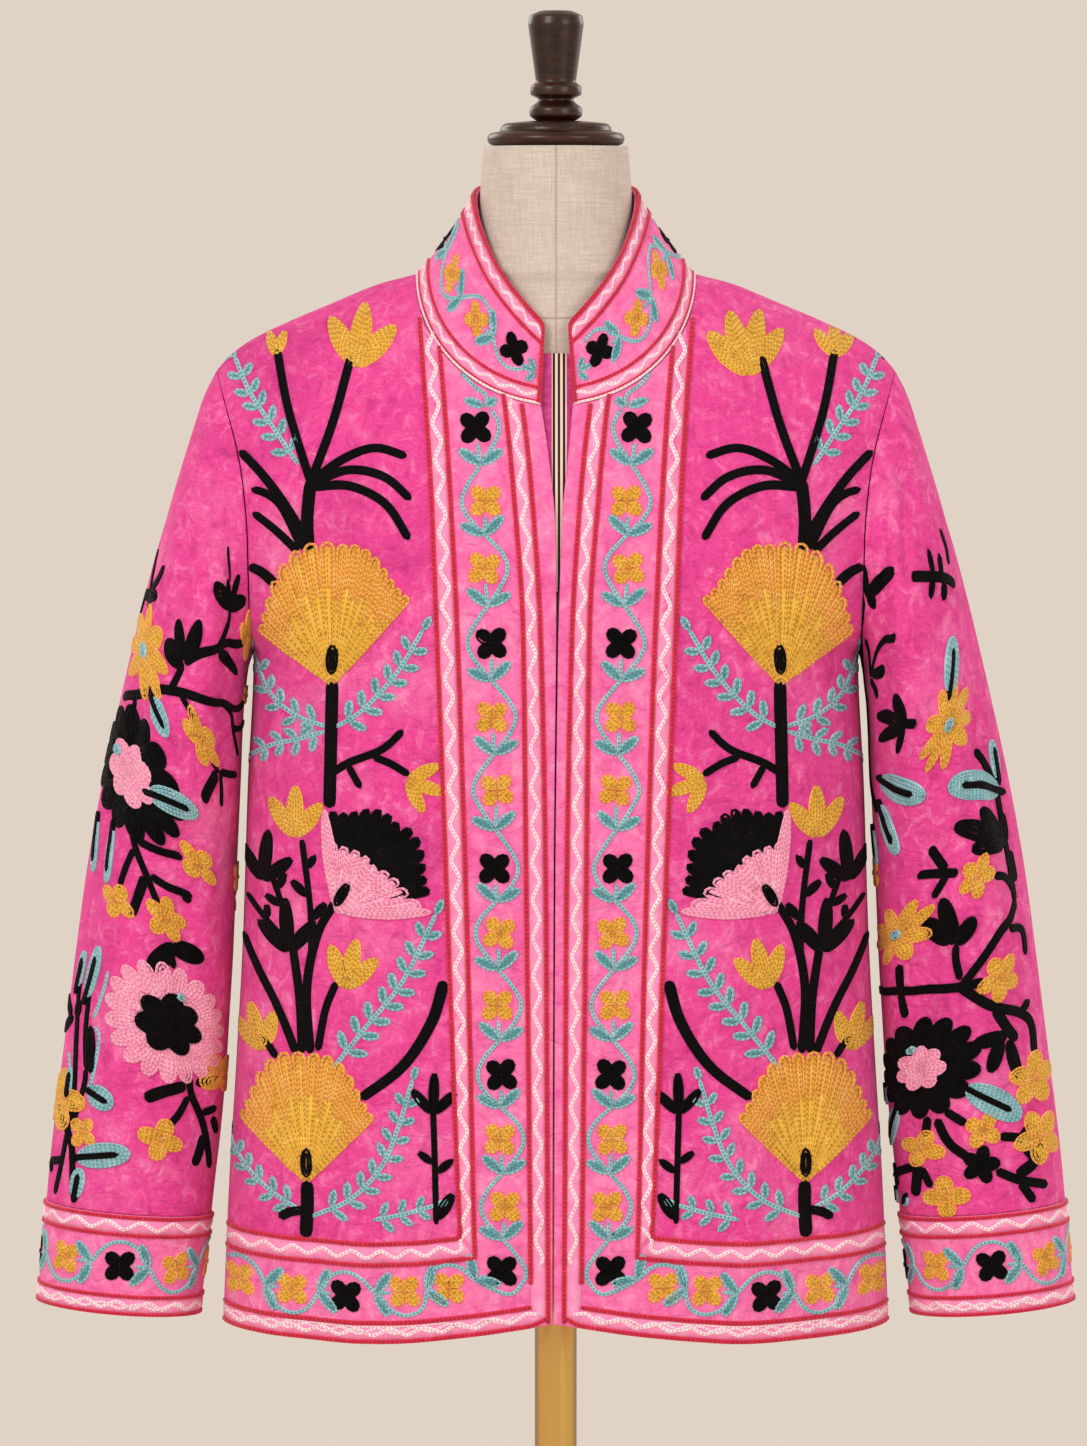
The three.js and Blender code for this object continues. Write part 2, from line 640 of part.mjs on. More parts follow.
// The collar's top edge over a place on the neckline
function collarTop(point) {
  const front = point.y < 0;
  const share = clamp(Math.abs(point.x) / NECK_POINT.x, 0, 1);
  const low = Math.asin(share);
  const from = COLLAR_FRONT_TURN;
  const alongFront = (low / degrees - from.low) / (90 - from.low);
  const turn = front ? mix(from.top, 90, alongFront) * degrees : Math.PI - low;
  const depth = front ? -COLLAR_TOP_FRONT : COLLAR_TOP_BACK;
  return new THREE.Vector3(
    Math.sign(point.x) * COLLAR_TOP_HALF * Math.sin(turn),
    mix(COLLAR_TOP_MIDDLE_Y, depth, Math.abs(Math.cos(turn))),
    collarTopHeight(turn / degrees),
  );
}

function collar() {
  const frames = necklineFrames();
  const grid = [];
  for (let row = 0; row <= COLLAR_ROWS; row += 1) {
    const share = row / COLLAR_ROWS;
    grid.push(frames.map((frame) => {
      const low = frame.point.clone().addScaledVector(frame.across, SEAM_SPACE);
      const top = collarTop(frame.point);
      const point = low.clone().lerp(top, share);
      point.z -= COLLAR_HOLLOW * Math.sin(Math.PI * share);
      return point;
    }));
  }
  const normals = gridNormals(grid);
  seamNormals(normals, frames);
  return wall(grid, normals, WALL);
}

// The striped strip behind the open front edges
function innerStrip() {
  const grid = [];
  for (let row = 0; row <= STRIP_ROWS; row += 1) {
    const z = mix(STRIP_BOTTOM, STRIP_TOP, row / STRIP_ROWS);
    const line = [];
    for (let column = 0; column <= STRIP_COLUMNS; column += 1) {
      const x = mix(-STRIP_HALF_WIDTH, STRIP_HALF_WIDTH, column / STRIP_COLUMNS);
      const back = STRIP_SET_BACK.depth * clamp((z - STRIP_SET_BACK.from) / STRIP_SET_BACK.over, 0, 1);
      const behind = (WALL + STRIP_BEHIND + back) / STRIP_SLOPE;
      line.push(new THREE.Vector3(x, behind - bodyDepth(x, z, 'front'), z));
    }
    grid.push(line);
  }
  return wall(grid, gridNormals(grid), STRIP_WALL);
}

// The form: rings of the jacket's own shape, let in, then the neck
function formTorso() {
  const drop = WALL + SHOULDER_CLEARANCE;
  const trunkHalf = through(FORM_TRUNK, 'z', 'half');
  const trunkFill = through(FORM_TRUNK, 'z', 'fill');
  const neck = (z) => ({
    z,
    half: through(FORM_NECK, 'z', 'half')(z),
    front: through(FORM_NECK, 'z', 'front')(z),
    back: through(FORM_NECK, 'z', 'back')(z),
  });
  const shoulderRings = FORM_SHOULDER_SHARES.map((share) => {
    const x = mix(FORM_SHOULDER.outerX, FORM_SHOULDER.innerX, share);
    const fill = FORM_SHOULDER.fill - FORM_SHOULDER.lessFill * share ** 2;
    return { z: shoulderHeight(x) - drop, half: x, fill };
  });
  const trunkRings = [];
  const trunkTop = FORM_TRUNK[FORM_TRUNK.length - 1].z;
  for (let z = FORM_BOTTOM; z <= trunkTop; z += FORM_RING_STEP) {
    trunkRings.push({ z, half: trunkHalf(z), fill: trunkFill(z) });
  }
  const bodyRing = (ring) => {
    const points = [];
    for (let i = 0; i < FORM_SIDES; i += 1) {
      const turn = (2 * Math.PI * i) / FORM_SIDES;
      const side = Math.sin(turn) > 0 ? 'front' : 'back';
      const x = ring.half * Math.cos(turn);
      const narrowed = clamp((ring.z - FORM_NARROWS.from) / FORM_NARROWS.over, 0, 1);
      const widen = mix(halfWidth(ring.z) / ring.half, 1, narrowed);
      const full = bodyDepth(x * widen, ring.z + drop, side);
      const trunk = full * ring.fill * Math.abs(Math.sin(turn)) ** FORM_SIDE_ROUNDING;
      const root = neck(ring.z);
      const reach = root[side] * Math.sqrt(Math.max(1 - (x / root.half) ** 2, 0));
      const depth = (trunk ** NECK_ROOT_BLEND + reach ** NECK_ROOT_BLEND) ** (1 / NECK_ROOT_BLEND);
      points.push(new THREE.Vector3(x, side === 'front' ? -depth : depth, ring.z));
    }
    return points;
  };
  const neckRing = (ring) => {
    const points = [];
    for (let i = 0; i < FORM_SIDES; i += 1) {
      const turn = (2 * Math.PI * i) / FORM_SIDES;
      const depth = Math.sin(turn) > 0 ? ring.front : ring.back;
      const y = NECK_MIDDLE_Y - depth * Math.sin(turn);
      points.push(new THREE.Vector3(ring.half * Math.cos(turn), y, ring.z));
    }
    return points;
  };
  const neckRings = FORM_NECK.filter((row) => row.z > NECK_POINT.z).map(neckRing);
  const rings = [...trunkRings, ...shoulderRings].map(bodyRing).concat(neckRings);
  const positions = [];
  rings.forEach((ring) => ring.forEach((point) => positions.push(point.x, point.y, point.z)));
  const bottom = rings.length * FORM_SIDES;
  positions.push(0, 0, FORM_BOTTOM);
  positions.push(0, NECK_MIDDLE_Y, FORM_NECK[FORM_NECK.length - 1].z);
  const faces = [];
  for (let i = 0; i < FORM_SIDES; i += 1) {
    const next = (i + 1) % FORM_SIDES;
    for (let row = 0; row < rings.length - 1; row += 1) {
      const a = row * FORM_SIDES + i;
      const b = row * FORM_SIDES + next;
      faces.push(a, b + FORM_SIDES, b, a, a + FORM_SIDES, b + FORM_SIDES);
    }
    faces.push(bottom, i, next);
    const last = (rings.length - 1) * FORM_SIDES;
    faces.push(bottom + 1, last + next, last + i);
  }
  return solid(positions, faces);
}

// A turned piece: its profile starts and ends on the axis
function turned(profile) {
  const first = profile[0];
  const last = profile[profile.length - 1];
  const points = [new THREE.Vector2(0, first.z)];
  profile.forEach((row) => points.push(new THREE.Vector2(row.r, row.z)));
  points.push(new THREE.Vector2(0, last.z));
  const geometry = new THREE.LatheGeometry(points, TURNED_SIDES);
  geometry.rotateX(Math.PI / 2);
  return geometry;
}

// Materials
const cloth = (colour) => new THREE.MeshStandardMaterial({ color: colour, roughness: 0.85, metalness: 0 });
const velvet = cloth('#dd46a0');
const borderVelvet = cloth('#e766ab');
const stripes = cloth('#b8317f');
const linen = cloth('#e6dacb');
const wood = new THREE.MeshStandardMaterial({ color: '#3b1d14', roughness: 0.35, metalness: 0 });
const brass = new THREE.MeshStandardMaterial({ color: '#b98a3e', roughness: 0.25, metalness: 1 });

const jacketOnForm = new THREE.Group();
function add(name, geometry, material, height) {
  const mesh = new THREE.Mesh(geometry, material);
  mesh.name = name;
  mesh.position.z = height;
  jacketOnForm.add(mesh);
}

add('right_front', wall(fronts.right, frontNormals.right, WALL), velvet, HEM_HEIGHT);
add('left_front', wall(fronts.left, frontNormals.left, WALL), velvet, HEM_HEIGHT);
add('back', wall(back, backNormals, WALL), velvet, HEM_HEIGHT);
for (const side of ['right', 'left']) {
  const { grid, normals } = sleeve(side);
  add(`${side}_sleeve`, wall(grid, normals, WALL, true), velvet, HEM_HEIGHT);
  const cuff = cuffGrid(grid);
  add(`${side}_cuff`, wall(cuff, gridNormals(cuff, true), WALL, true), borderVelvet, HEM_HEIGHT);
}
add('collar', collar(), borderVelvet, HEM_HEIGHT);
add('inner_strip', innerStrip(), stripes, HEM_HEIGHT);
add('form_torso', formTorso(), linen, HEM_HEIGHT);
const neckTop = FORM_NECK[FORM_NECK.length - 1].z;
const capTop = neckTop + SEAM_GAP + NECK_CAP[NECK_CAP.length - 1].z;
add('neck_cap', turned(NECK_CAP), wood, HEM_HEIGHT + neckTop + SEAM_GAP);
add('finial', turned(FINIAL), wood, HEM_HEIGHT + capTop + SEAM_GAP);
const poleLength = HEM_HEIGHT + FORM_BOTTOM - BASE_HEIGHT - 2 * SEAM_GAP;
const poleProfile = [{ r: POLE_RADIUS, z: 0 }, { r: POLE_RADIUS, z: poleLength }];
add('pole', turned(poleProfile), brass, BASE_HEIGHT + SEAM_GAP);
add('base', turned(BASE), brass, 0);

export default jacketOnForm;
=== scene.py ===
# A pink velvet suzani jacket on a limbless dress form: cloth shells, chain-stitch embroidery,
# turned wood and brass. Design sizes are millimetres from the hem up, made into metres at the mesh.

import math

import bpy
import numpy as np
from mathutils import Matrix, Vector


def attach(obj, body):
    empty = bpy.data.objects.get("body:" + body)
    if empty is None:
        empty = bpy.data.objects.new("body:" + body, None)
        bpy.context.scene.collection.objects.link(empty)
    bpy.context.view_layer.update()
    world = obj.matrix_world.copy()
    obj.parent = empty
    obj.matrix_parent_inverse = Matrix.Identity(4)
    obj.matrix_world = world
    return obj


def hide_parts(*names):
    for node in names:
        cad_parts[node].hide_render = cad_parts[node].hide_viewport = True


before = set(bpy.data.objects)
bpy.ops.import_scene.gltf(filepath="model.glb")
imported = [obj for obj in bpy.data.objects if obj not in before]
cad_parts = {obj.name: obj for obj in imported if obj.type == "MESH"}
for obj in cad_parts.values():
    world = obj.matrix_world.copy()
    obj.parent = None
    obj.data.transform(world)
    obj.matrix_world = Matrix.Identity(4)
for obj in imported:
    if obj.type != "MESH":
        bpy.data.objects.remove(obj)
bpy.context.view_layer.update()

MM = 0.001
HEM_HEIGHT = 640
WALL = 2.0
SEAM_GAP = 0.3
ARMPIT_HEIGHT = 435
SHOULDER_TIP = (219, 618)
NECK_POINT = (90, 680)
FRONT_NECK_DEPTH = 83
BACK_NECK_DEPTH = 10
COLLAR_TOP_HALF = 52
COLLAR_TOP_FRONT = 62
COLLAR_TOP_BACK = 50
COLLAR_MIDDLE_Y = -6
COLLAR_DIP = 2.5
CUFF_HEIGHT = 66
CREASE_LIFT = 0.25
CORD_FOOT = 59
CORD_LEAN = 0.037
FOLD_FADE = 60
# How far under the shoulder line the body has its full depth, and the two powers of the curve there
SHOULDER_FALL = {"front": (220, 1.8, 0.6), "back": (200, 2, 0.55)}

# Rows of a panel's grid below and above the armpit, and columns across it
ROWS_BELOW = 64
ROWS_ABOVE = 48
FRONT_COLUMNS = 60
BACK_COLUMNS = 120
SLEEVE_ROWS = 116
SLEEVE_COLUMNS = 96
BAND_ROWS = 25
# Shares of the armhole's rows and of the back's columns where the neckline turns
NECK_CORNER = 5 / 12
BACK_NECK_SHARE = 10 / 24

# The garment's sections and seams, as in the solids
BODY = {
    "z": [-10, 90, 170, 250, 350, 435, 445, 460, 485, 520, 560, 620, 710],
    "half": [217.5, 213, 208, 203.5, 200, 196, 203, 211, 221, 232, 243, 252, 256],
    "front": [121, 119, 117, 116, 117, 118, 118, 118, 117, 115, 113, 112, 112],
    "back": [113, 110, 106, 102, 100, 103, 103, 104, 105, 106, 106, 106, 106],
}
SHOULDER = {
    "x": [0, 60, 90, 113, 145, 170, 196, 210, 219, 230],
    "z": [700, 690, 680, 674, 661, 650.5, 638, 628, 618, 604],
}
ARMHOLE = {"z": [435, 509, 545, 567, 590, 618], "x": [196, 197, 200, 204, 210.5, 219]}
FRONT_EDGE = {
    "z": [0, 300, 440, 525, 560, 597],
    "gap": [0.5, 0.5, 0.6, 2.2, 5.5, 10],
    "middle": [-2, -1, 0.5, 1.5, 1.5, 0.5],
}
HEM = {"x": [0, 60, 130, 220], "rise": [15, 6, 0, 1]}
SLEEVE = {
    "outer_x": [219, 227, 235, 245, 256, 268, 281, 294, 305, 312, 318, 324, 329, 332],
    "outer_z": [618, 602, 578, 546, 510, 464, 410, 352, 292, 241, 194, 148, 108, 79],
    "inner_x": [196, 199.5, 201, 202.5, 203.5, 204.5, 206, 208, 210, 212.5, 215, 218.5, 222, 224.5],
    "inner_z": [435, 424, 413, 399, 382, 357, 325, 285, 240, 200, 162, 124, 94, 70],
    "depth": [57, 62, 67, 70, 71, 69, 65, 60, 56, 53, 50, 47, 45, 43.5],
}
COLLAR_TOP = {"turn": [8, 26, 47, 69, 90, 130, 180], "z": [648, 666, 688, 713, 731, 738, 740]}

# Soft folds of the body: middle, lean from upright, half length, half width, depth
BODY_FOLDS = {
    "front": [
        (-150, 90, 6, 150, 20, 5),
        (-88, 60, -4, 110, 22, -3),
        (78, 270, 38, 70, 17, 4),
        (152, 110, -5, 140, 21, 5),
        (-172, 380, 24, 80, 16, 4),
        (170, 375, -26, 75, 15, 4),
    ],
    "back": [
        (-118, 120, 5, 170, 26, 7),
        (-20, 90, -3, 150, 24, 5),
        (96, 130, -6, 180, 27, 7),
        (60, 420, -30, 90, 22, 3),
    ],
}
# Finer creases that only the cloth shows: the same columns
BODY_CREASES = {
    "front": [
        (-128, 300, 52, 46, 7, 1.5), (-60, 205, -40, 38, 6, 1.2), (120, 330, -48, 52, 7, 1.6),
        (150, 230, -30, 60, 8, 1.8), (-165, 250, 30, 66, 8, 1.8), (176, 440, -62, 34, 6, 1.6),
        (-178, 452, 60, 36, 6, 1.7), (62, 420, 66, 34, 5, 1.0), (-58, 452, -70, 30, 5, 1.0),
        (168, 60, -10, 58, 9, 1.6), (-110, 36, 14, 44, 8, 1.5), (100, 40, 8, 46, 9, 1.4),
        (-178, 120, 8, 70, 7, 1.8), (185, 180, -6, 80, 7, 1.6), (60, 150, 20, 50, 8, 1.3),
        (130, 560, -64, 44, 7, 1.2), (-135, 555, 60, 42, 7, 1.3), (-90, 600, 50, 34, 6, 0.9),
    ],
    "back": [
        (-150, 300, 40, 70, 9, 2.0), (140, 280, -42, 64, 8, 1.9), (0, 330, 6, 90, 10, 1.6),
        (-60, 470, 64, 60, 8, 1.6), (80, 520, -60, 56, 8, 1.5), (-165, 430, 55, 40, 7, 1.8),
        (168, 420, -58, 42, 7, 1.8), (40, 180, -14, 80, 9, 1.8), (-70, 170, 12, 76, 9, 1.6),
        (150, 90, -8, 60, 9, 1.7), (-170, 90, 8, 64, 8, 1.8), (10, 600, 80, 60, 8, 1.2),
    ],
}
# Folds of a sleeve: along, around (degrees from the outer line to the front), lean, half length,
# half width in degrees, depth
SLEEVE_FOLDS = [
    (0.3, 72, 60, 0.2, 20, 4),
    (0.56, 110, -90, 0.14, 19, 4),
    (0.72, 40, 80, 0.13, 20, 3.5),
    (0.42, 268, -70, 0.2, 22, 4),
    (0.66, 232, 90, 0.14, 20, 4),
]
SLEEVE_CREASES = [
    (0.12, 100, 260, 0.07, 9, 3.2), (0.17, 70, 240, 0.08, 8, 3.0), (0.24, 120, -220, 0.07, 8, 3.2),
    (0.5, 60, 420, 0.05, 9, 3.2), (0.58, 84, -420, 0.05, 9, 3.4), (0.63, 130, 380, 0.05, 9, 3.2),
    (0.8, 96, -300, 0.06, 9, 2.8), (0.88, 50, 260, 0.05, 9, 2.6), (0.36, 20, 200, 0.08, 9, 2.6),
    (0.14, 262, 240, 0.08, 9, 3.2), (0.26, 250, -240, 0.08, 9, 3.2), (0.52, 290, 400, 0.05, 9, 3.4),
    (0.6, 250, -400, 0.05, 9, 3.2), (0.78, 270, 300, 0.06, 9, 3.0), (0.9, 300, -240, 0.05, 9, 2.6),
    (0.24, 128, 60, 0.18, 12, 4.4), (0.46, 48, -80, 0.15, 11, 4.2), (0.7, 122, 110, 0.15, 12, 4.4),
    (0.36, 300, -60, 0.18, 12, 4.2), (0.68, 285, 80, 0.16, 12, 4.2), (0.16, 52, 40, 0.12, 11, 3.6),
]


def through(xs, ys):
    """A smooth curve through a table's rows that never swings past them."""
    xs = np.array(xs, float)
    ys = np.array(ys, float)
    slopes = np.diff(ys) / np.diff(xs)
    before = np.concatenate([slopes[:1], slopes])
    after = np.concatenate([slopes, slopes[-1:]])
    total = before + after
    tangents = np.where(before * after <= 0, 0, 2 * before * after / np.where(total == 0, 1, total))

    def at(value):
        value = np.clip(value, xs[0], xs[-1])
        i = np.clip(np.searchsorted(xs, value, side="right") - 1, 0, len(xs) - 2)
        span = xs[i + 1] - xs[i]
        t = (value - xs[i]) / span
        keep = (1 + 2 * t) * (1 - t) ** 2 * ys[i] + t * t * (3 - 2 * t) * ys[i + 1]
        bend = t * (1 - t) ** 2 * tangents[i] - t * t * (1 - t) * tangents[i + 1]
        return keep + bend * span

    return at


half_width = through(BODY["z"], BODY["half"])
body_depth_table = {side: through(BODY["z"], BODY[side]) for side in ("front", "back")}
shoulder_height = through(SHOULDER["x"], SHOULDER["z"])
armhole_x = through(ARMHOLE["z"], ARMHOLE["x"])
edge_gap = through(FRONT_EDGE["z"], FRONT_EDGE["gap"])
edge_middle = through(FRONT_EDGE["z"], FRONT_EDGE["middle"])
hem_rise = through(HEM["x"], HEM["rise"])
collar_top_height = through(COLLAR_TOP["turn"], COLLAR_TOP["z"])


def mix(a, b, share):
    return a + (b - a) * share


def joined(*axes):
    """Points from their coordinates."""
    return np.stack(np.broadcast_arrays(*axes), axis=-1)


def folds_at(x, z, rows):
    """The depth of a table of folds at a place."""
    total = np.zeros(np.broadcast(x, z).shape)
    for at_x, at_z, lean, length, width, depth in rows:
        turn = math.radians(lean)
        along = (x - at_x) * math.sin(turn) + (z - at_z) * math.cos(turn)
        across = (x - at_x) * math.cos(turn) - (z - at_z) * math.sin(turn)
        total = total + depth * np.exp(-((along / length) ** 2) - (across / width) ** 2)
    return total


def plain_depth(x, z, side):
    """How far the body's bare form stands from the side seams' plane."""
    share = np.clip(np.abs(x) / half_width(z), 0, 1)
    below = shoulder_height(np.abs(x)) - z
    reach, inner, outer = SHOULDER_FALL[side]
    fall = (1 - (1 - np.clip(below / reach, 0, 1)) ** inner) ** outer
    return body_depth_table[side](z) * fall * np.sqrt(1 - share ** 2.6)


def body_depth(x, z, side):
    """The same for the cloth's outer surface, with its folds and creases."""
    depth = plain_depth(x, z, side)
    folds = folds_at(x, z, BODY_FOLDS[side]) + 1.5 * folds_at(x, z, BODY_CREASES[side]) - CREASE_LIFT
    return np.maximum(depth - folds * np.clip(depth / FOLD_FADE, 0, 1), SEAM_GAP / 2 + 0.05)


def unit(vectors):
    return vectors / np.maximum(np.linalg.norm(vectors, axis=-1, keepdims=True), 1e-9)


def body_place(side):
    """Places things on the body's cloth: x and z seen from the front, and a lift above the surface."""
    toward = -1 if side == "front" else 1

    def place(x, z, lift):
        limit = np.where(z > ARMPIT_HEIGHT, armhole_x(z), half_width(z)) - 1.2
        x = np.clip(x, -limit, limit)
        z = np.minimum(z, shoulder_height(np.abs(x)) - 1.5)
        step = 1.5
        depth = body_depth(x, z, side)
        slope_x = (body_depth(x + step, z, side) - body_depth(x - step, z, side)) / (2 * step)
        slope_z = (body_depth(x, z + step, side) - body_depth(x, z - step, side)) / (2 * step)
        slope_x = np.clip(slope_x, -4, 4)
        slope_z = np.clip(slope_z, -4, 4)
        normal = unit(joined(-slope_x, toward, -slope_z))
        return joined(x, toward * depth, z) + normal * lift[..., None]

    return place


def rise(step):
    """The share of the armhole's height at each step above the armpit, closer towards the shoulder."""
    return 1 - (1 - step) ** 1.5


def outer_line(row):
    """A side seam and armhole from the hem up: rows 0 to 1 are the seam, 1 to 2 the armhole."""
    low = mix(hem_rise(220), ARMPIT_HEIGHT, np.clip(row, 0, 1))
    high = mix(ARMPIT_HEIGHT, SHOULDER_TIP[1], rise(np.clip(row - 1, 0, 1)))
    z = np.where(row <= 1, low, high)
    return np.where(row <= 1, half_width(low), armhole_x(high)), z


def inner_line(row, near_side):
    """A front edge and its neckline, from the hem up."""
    neck_bottom = NECK_POINT[1] - FRONT_NECK_DEPTH
    corner = rise(NECK_CORNER)
    step = rise(np.clip(row - 1, 0, 1))
    z_low = mix(hem_rise(0), ARMPIT_HEIGHT, np.clip(row, 0, 1))
    z_edge = mix(ARMPIT_HEIGHT, neck_bottom, np.clip(step / corner, 0, 1))
    z_straight = np.where(row <= 1, z_low, z_edge)
    x_straight = edge_gap(z_straight) + near_side * edge_middle(z_straight)
    start = math.asin((edge_gap(neck_bottom) + near_side * edge_middle(neck_bottom)) / NECK_POINT[0])
    turn = mix(start, math.pi / 2, np.clip((step - corner) / (1 - corner), 0, 1))
    on_neck = row > 1 + NECK_CORNER
    x = np.where(on_neck, NECK_POINT[0] * np.sin(turn), x_straight)
    z = np.where(on_neck, NECK_POINT[1] - FRONT_NECK_DEPTH * np.cos(turn), z_straight)
    return x, z


def patch(v, u, left, right, bottom, top):
    """A four-sided patch from its four boundary lines: v up the rows, u across the columns."""
    v = v[:, None]
    corners = mix(mix(bottom[0], bottom[-1], u), mix(top[0], top[-1], u), v)
    return mix(bottom, top, v) + mix(left[:, None], right[:, None], u) - corners


def row_share(row):
    below = ARMPIT_HEIGHT / SHOULDER_TIP[1]
    return np.where(row <= 1, below * row, mix(below, 1, rise(np.clip(row - 1, 0, 1))))


panel_rows = np.concatenate([
    np.linspace(0, 1, ROWS_BELOW + 1), 1 + np.linspace(0, 1, ROWS_ABOVE + 1)[1:]
])


def front_grid(near_side):
    """A front as rows of outer points, from the wearer's right to left."""
    u = np.linspace(0, 1, FRONT_COLUMNS + 1)
    v = row_share(panel_rows)
    inner_x, inner_z = inner_line(panel_rows, near_side)
    outer_x, outer_z = outer_line(panel_rows)
    bottom_x = mix(inner_x[0], outer_x[0], np.sin(u * math.pi / 2))
    top_x = mix(NECK_POINT[0], SHOULDER_TIP[0], u)
    x = near_side * patch(v, u, inner_x, outer_x, bottom_x, top_x)
    z = patch(v, u, inner_z, outer_z, hem_rise(bottom_x), shoulder_height(top_x))
    grid = joined(x, -body_depth(x, z, "front"), z)
    return grid if near_side > 0 else grid[:, ::-1]


def back_top(u):
    from_middle = (u - 0.5) / (BACK_NECK_SHARE / 2)
    turn = np.clip(from_middle, -1, 1) * math.pi / 2
    out = np.clip((np.abs(from_middle) - 1) / (1 / BACK_NECK_SHARE - 1), 0, 1)
    shoulder_x = mix(NECK_POINT[0], SHOULDER_TIP[0], out)
    on_neck = np.abs(from_middle) <= 1
    x = np.where(on_neck, -NECK_POINT[0] * np.sin(turn), -np.sign(from_middle) * shoulder_x)
    z = np.where(on_neck, NECK_POINT[1] - BACK_NECK_DEPTH * np.cos(turn), shoulder_height(shoulder_x))
    return x, z


def back_grid():
    """The back as rows of outer points, from the wearer's left to right."""
    u = np.linspace(0, 1, BACK_COLUMNS + 1)
    v = row_share(panel_rows)
    outer_x, outer_z = outer_line(panel_rows)
    bottom_x = outer_x[0] * np.sin((0.5 - u) * math.pi)
    top_x, top_z = back_top(u)
    x = patch(v, u, outer_x, -outer_x, bottom_x, top_x)
    z = patch(v, u, outer_z, outer_z, np.full_like(u, hem_rise(220)), top_z)
    return joined(x, body_depth(x, z, "back"), z)


def grid_normals(grid, around=False):
    """Outward normals of a grid of points; around joins the last column to the first."""
    if around:
        across = np.roll(grid, -1, axis=1) - np.roll(grid, 1, axis=1)
    else:
        across = np.gradient(grid, axis=1)
    return unit(np.cross(across, np.gradient(grid, axis=0)))


class Cloth:
    """A grid of outer points on which things are placed by fractional column and row."""

    def __init__(self, grid, around=False, normals=None):
        self.around = around
        if normals is None:
            normals = grid_normals(grid, around)
            if around:
                grid = np.concatenate([grid, grid[:, :1]], axis=1)
                normals = np.concatenate([normals, normals[:, :1]], axis=1)
        self.grid, self.normals = grid, normals

    def place(self, column, row, lift):
        rows, columns = self.grid.shape[:2]
        if self.around:
            column = np.mod(column, columns - 1)
        column = np.clip(column, 0, columns - 1 - 1e-6)
        row = np.clip(row, 0, rows - 1 - 1e-6)
        i, j = row.astype(int), column.astype(int)
        v, u = (row - i)[..., None], (column - j)[..., None]

        def blend(field):
            low = mix(field[i, j], field[i, j + 1], u)
            high = mix(field[i + 1, j], field[i + 1, j + 1], u)
            return mix(low, high, v)

        return blend(self.grid) + unit(blend(self.normals)) * lift[..., None]


def seam_frames(points, normals, inside, ring):
    """The way across a seam at each of its places, square to the edge and in the wall's own plane."""
    if ring:
        along = np.roll(points, -1, axis=0) - np.roll(points, 1, axis=0)
    else:
        along = np.gradient(points, axis=0)
    across = unit(np.cross(along, normals))
    away = np.sum(across * (points - inside), axis=-1, keepdims=True)
    return across * np.where(away < 0, -1, 1)


fronts = {"right": front_grid(-1), "left": front_grid(1)}
back = back_grid()
front_normals = {side: grid_normals(fronts[side]) for side in fronts}
back_normals = grid_normals(back)
side_column = {"right": 0, "left": FRONT_COLUMNS}
edge_column = {"right": FRONT_COLUMNS, "left": 0}
shoulder_columns = round(BACK_COLUMNS * (1 - BACK_NECK_SHARE) / 2)


def square_seams():
    """Walls meet square at the side and shoulder seams."""
    for side in fronts:
        front_normals[side][-1, :, 1] = 0
        front_normals[side][: ROWS_BELOW + 1, side_column[side], 1] = 0
        front_normals[side] = unit(front_normals[side])
    back_normals[-1, : shoulder_columns + 1, 1] = 0
    back_normals[-1, -shoulder_columns - 1:, 1] = 0
    back_normals[: ROWS_BELOW + 1, [0, -1], 1] = 0
    back_normals[:] = unit(back_normals)


square_seams()


def armhole_ring(side):
    """The armhole's points and the way across its seam: tip, down the front, armpit, up the back."""
    column = side_column[side]
    inward = 1 if side == "right" else -1
    back_column = BACK_COLUMNS if side == "right" else 0
    down = np.arange(len(panel_rows) - 2, ROWS_BELOW, -1)
    up = down[::-1]
    tip, pit = len(panel_rows) - 1, ROWS_BELOW

    def ring(front, rear, front_column, rear_column, pit_row=pit):
        ends = [(front[row, front_column] + rear[row, rear_column]) / 2 for row in (tip, pit_row)]
        return np.concatenate([ends[:1], front[down, front_column], ends[1:], rear[up, rear_column]])

    points = ring(fronts[side], back, column, back_column)
    normals = unit(ring(front_normals[side], back_normals, column, back_column))
    inside = ring(fronts[side], back, column + inward, back_column - inward)
    inside[1 + len(down)] = fronts[side][pit - 1, column]
    across = seam_frames(points, normals, inside, True)
    return points, across


sleeve_tables = {
    key: through(np.linspace(0, 1, len(SLEEVE["depth"])), SLEEVE[key]) for key in SLEEVE
}


def sleeve_section(along, turn, outward):
    """A point of the sleeve's bare form, at a turn from the outer line towards the front."""
    outer_x, outer_z = sleeve_tables["outer_x"](along), sleeve_tables["outer_z"](along)
    inner_x, inner_z = sleeve_tables["inner_x"](along), sleeve_tables["inner_z"](along)
    reach = np.cos(turn) / 2
    x = outward * ((outer_x + inner_x) / 2 + reach * (outer_x - inner_x))
    z = (outer_z + inner_z) / 2 + reach * (outer_z - inner_z)
    return joined(x, -sleeve_tables["depth"](along) * np.sin(turn), z)


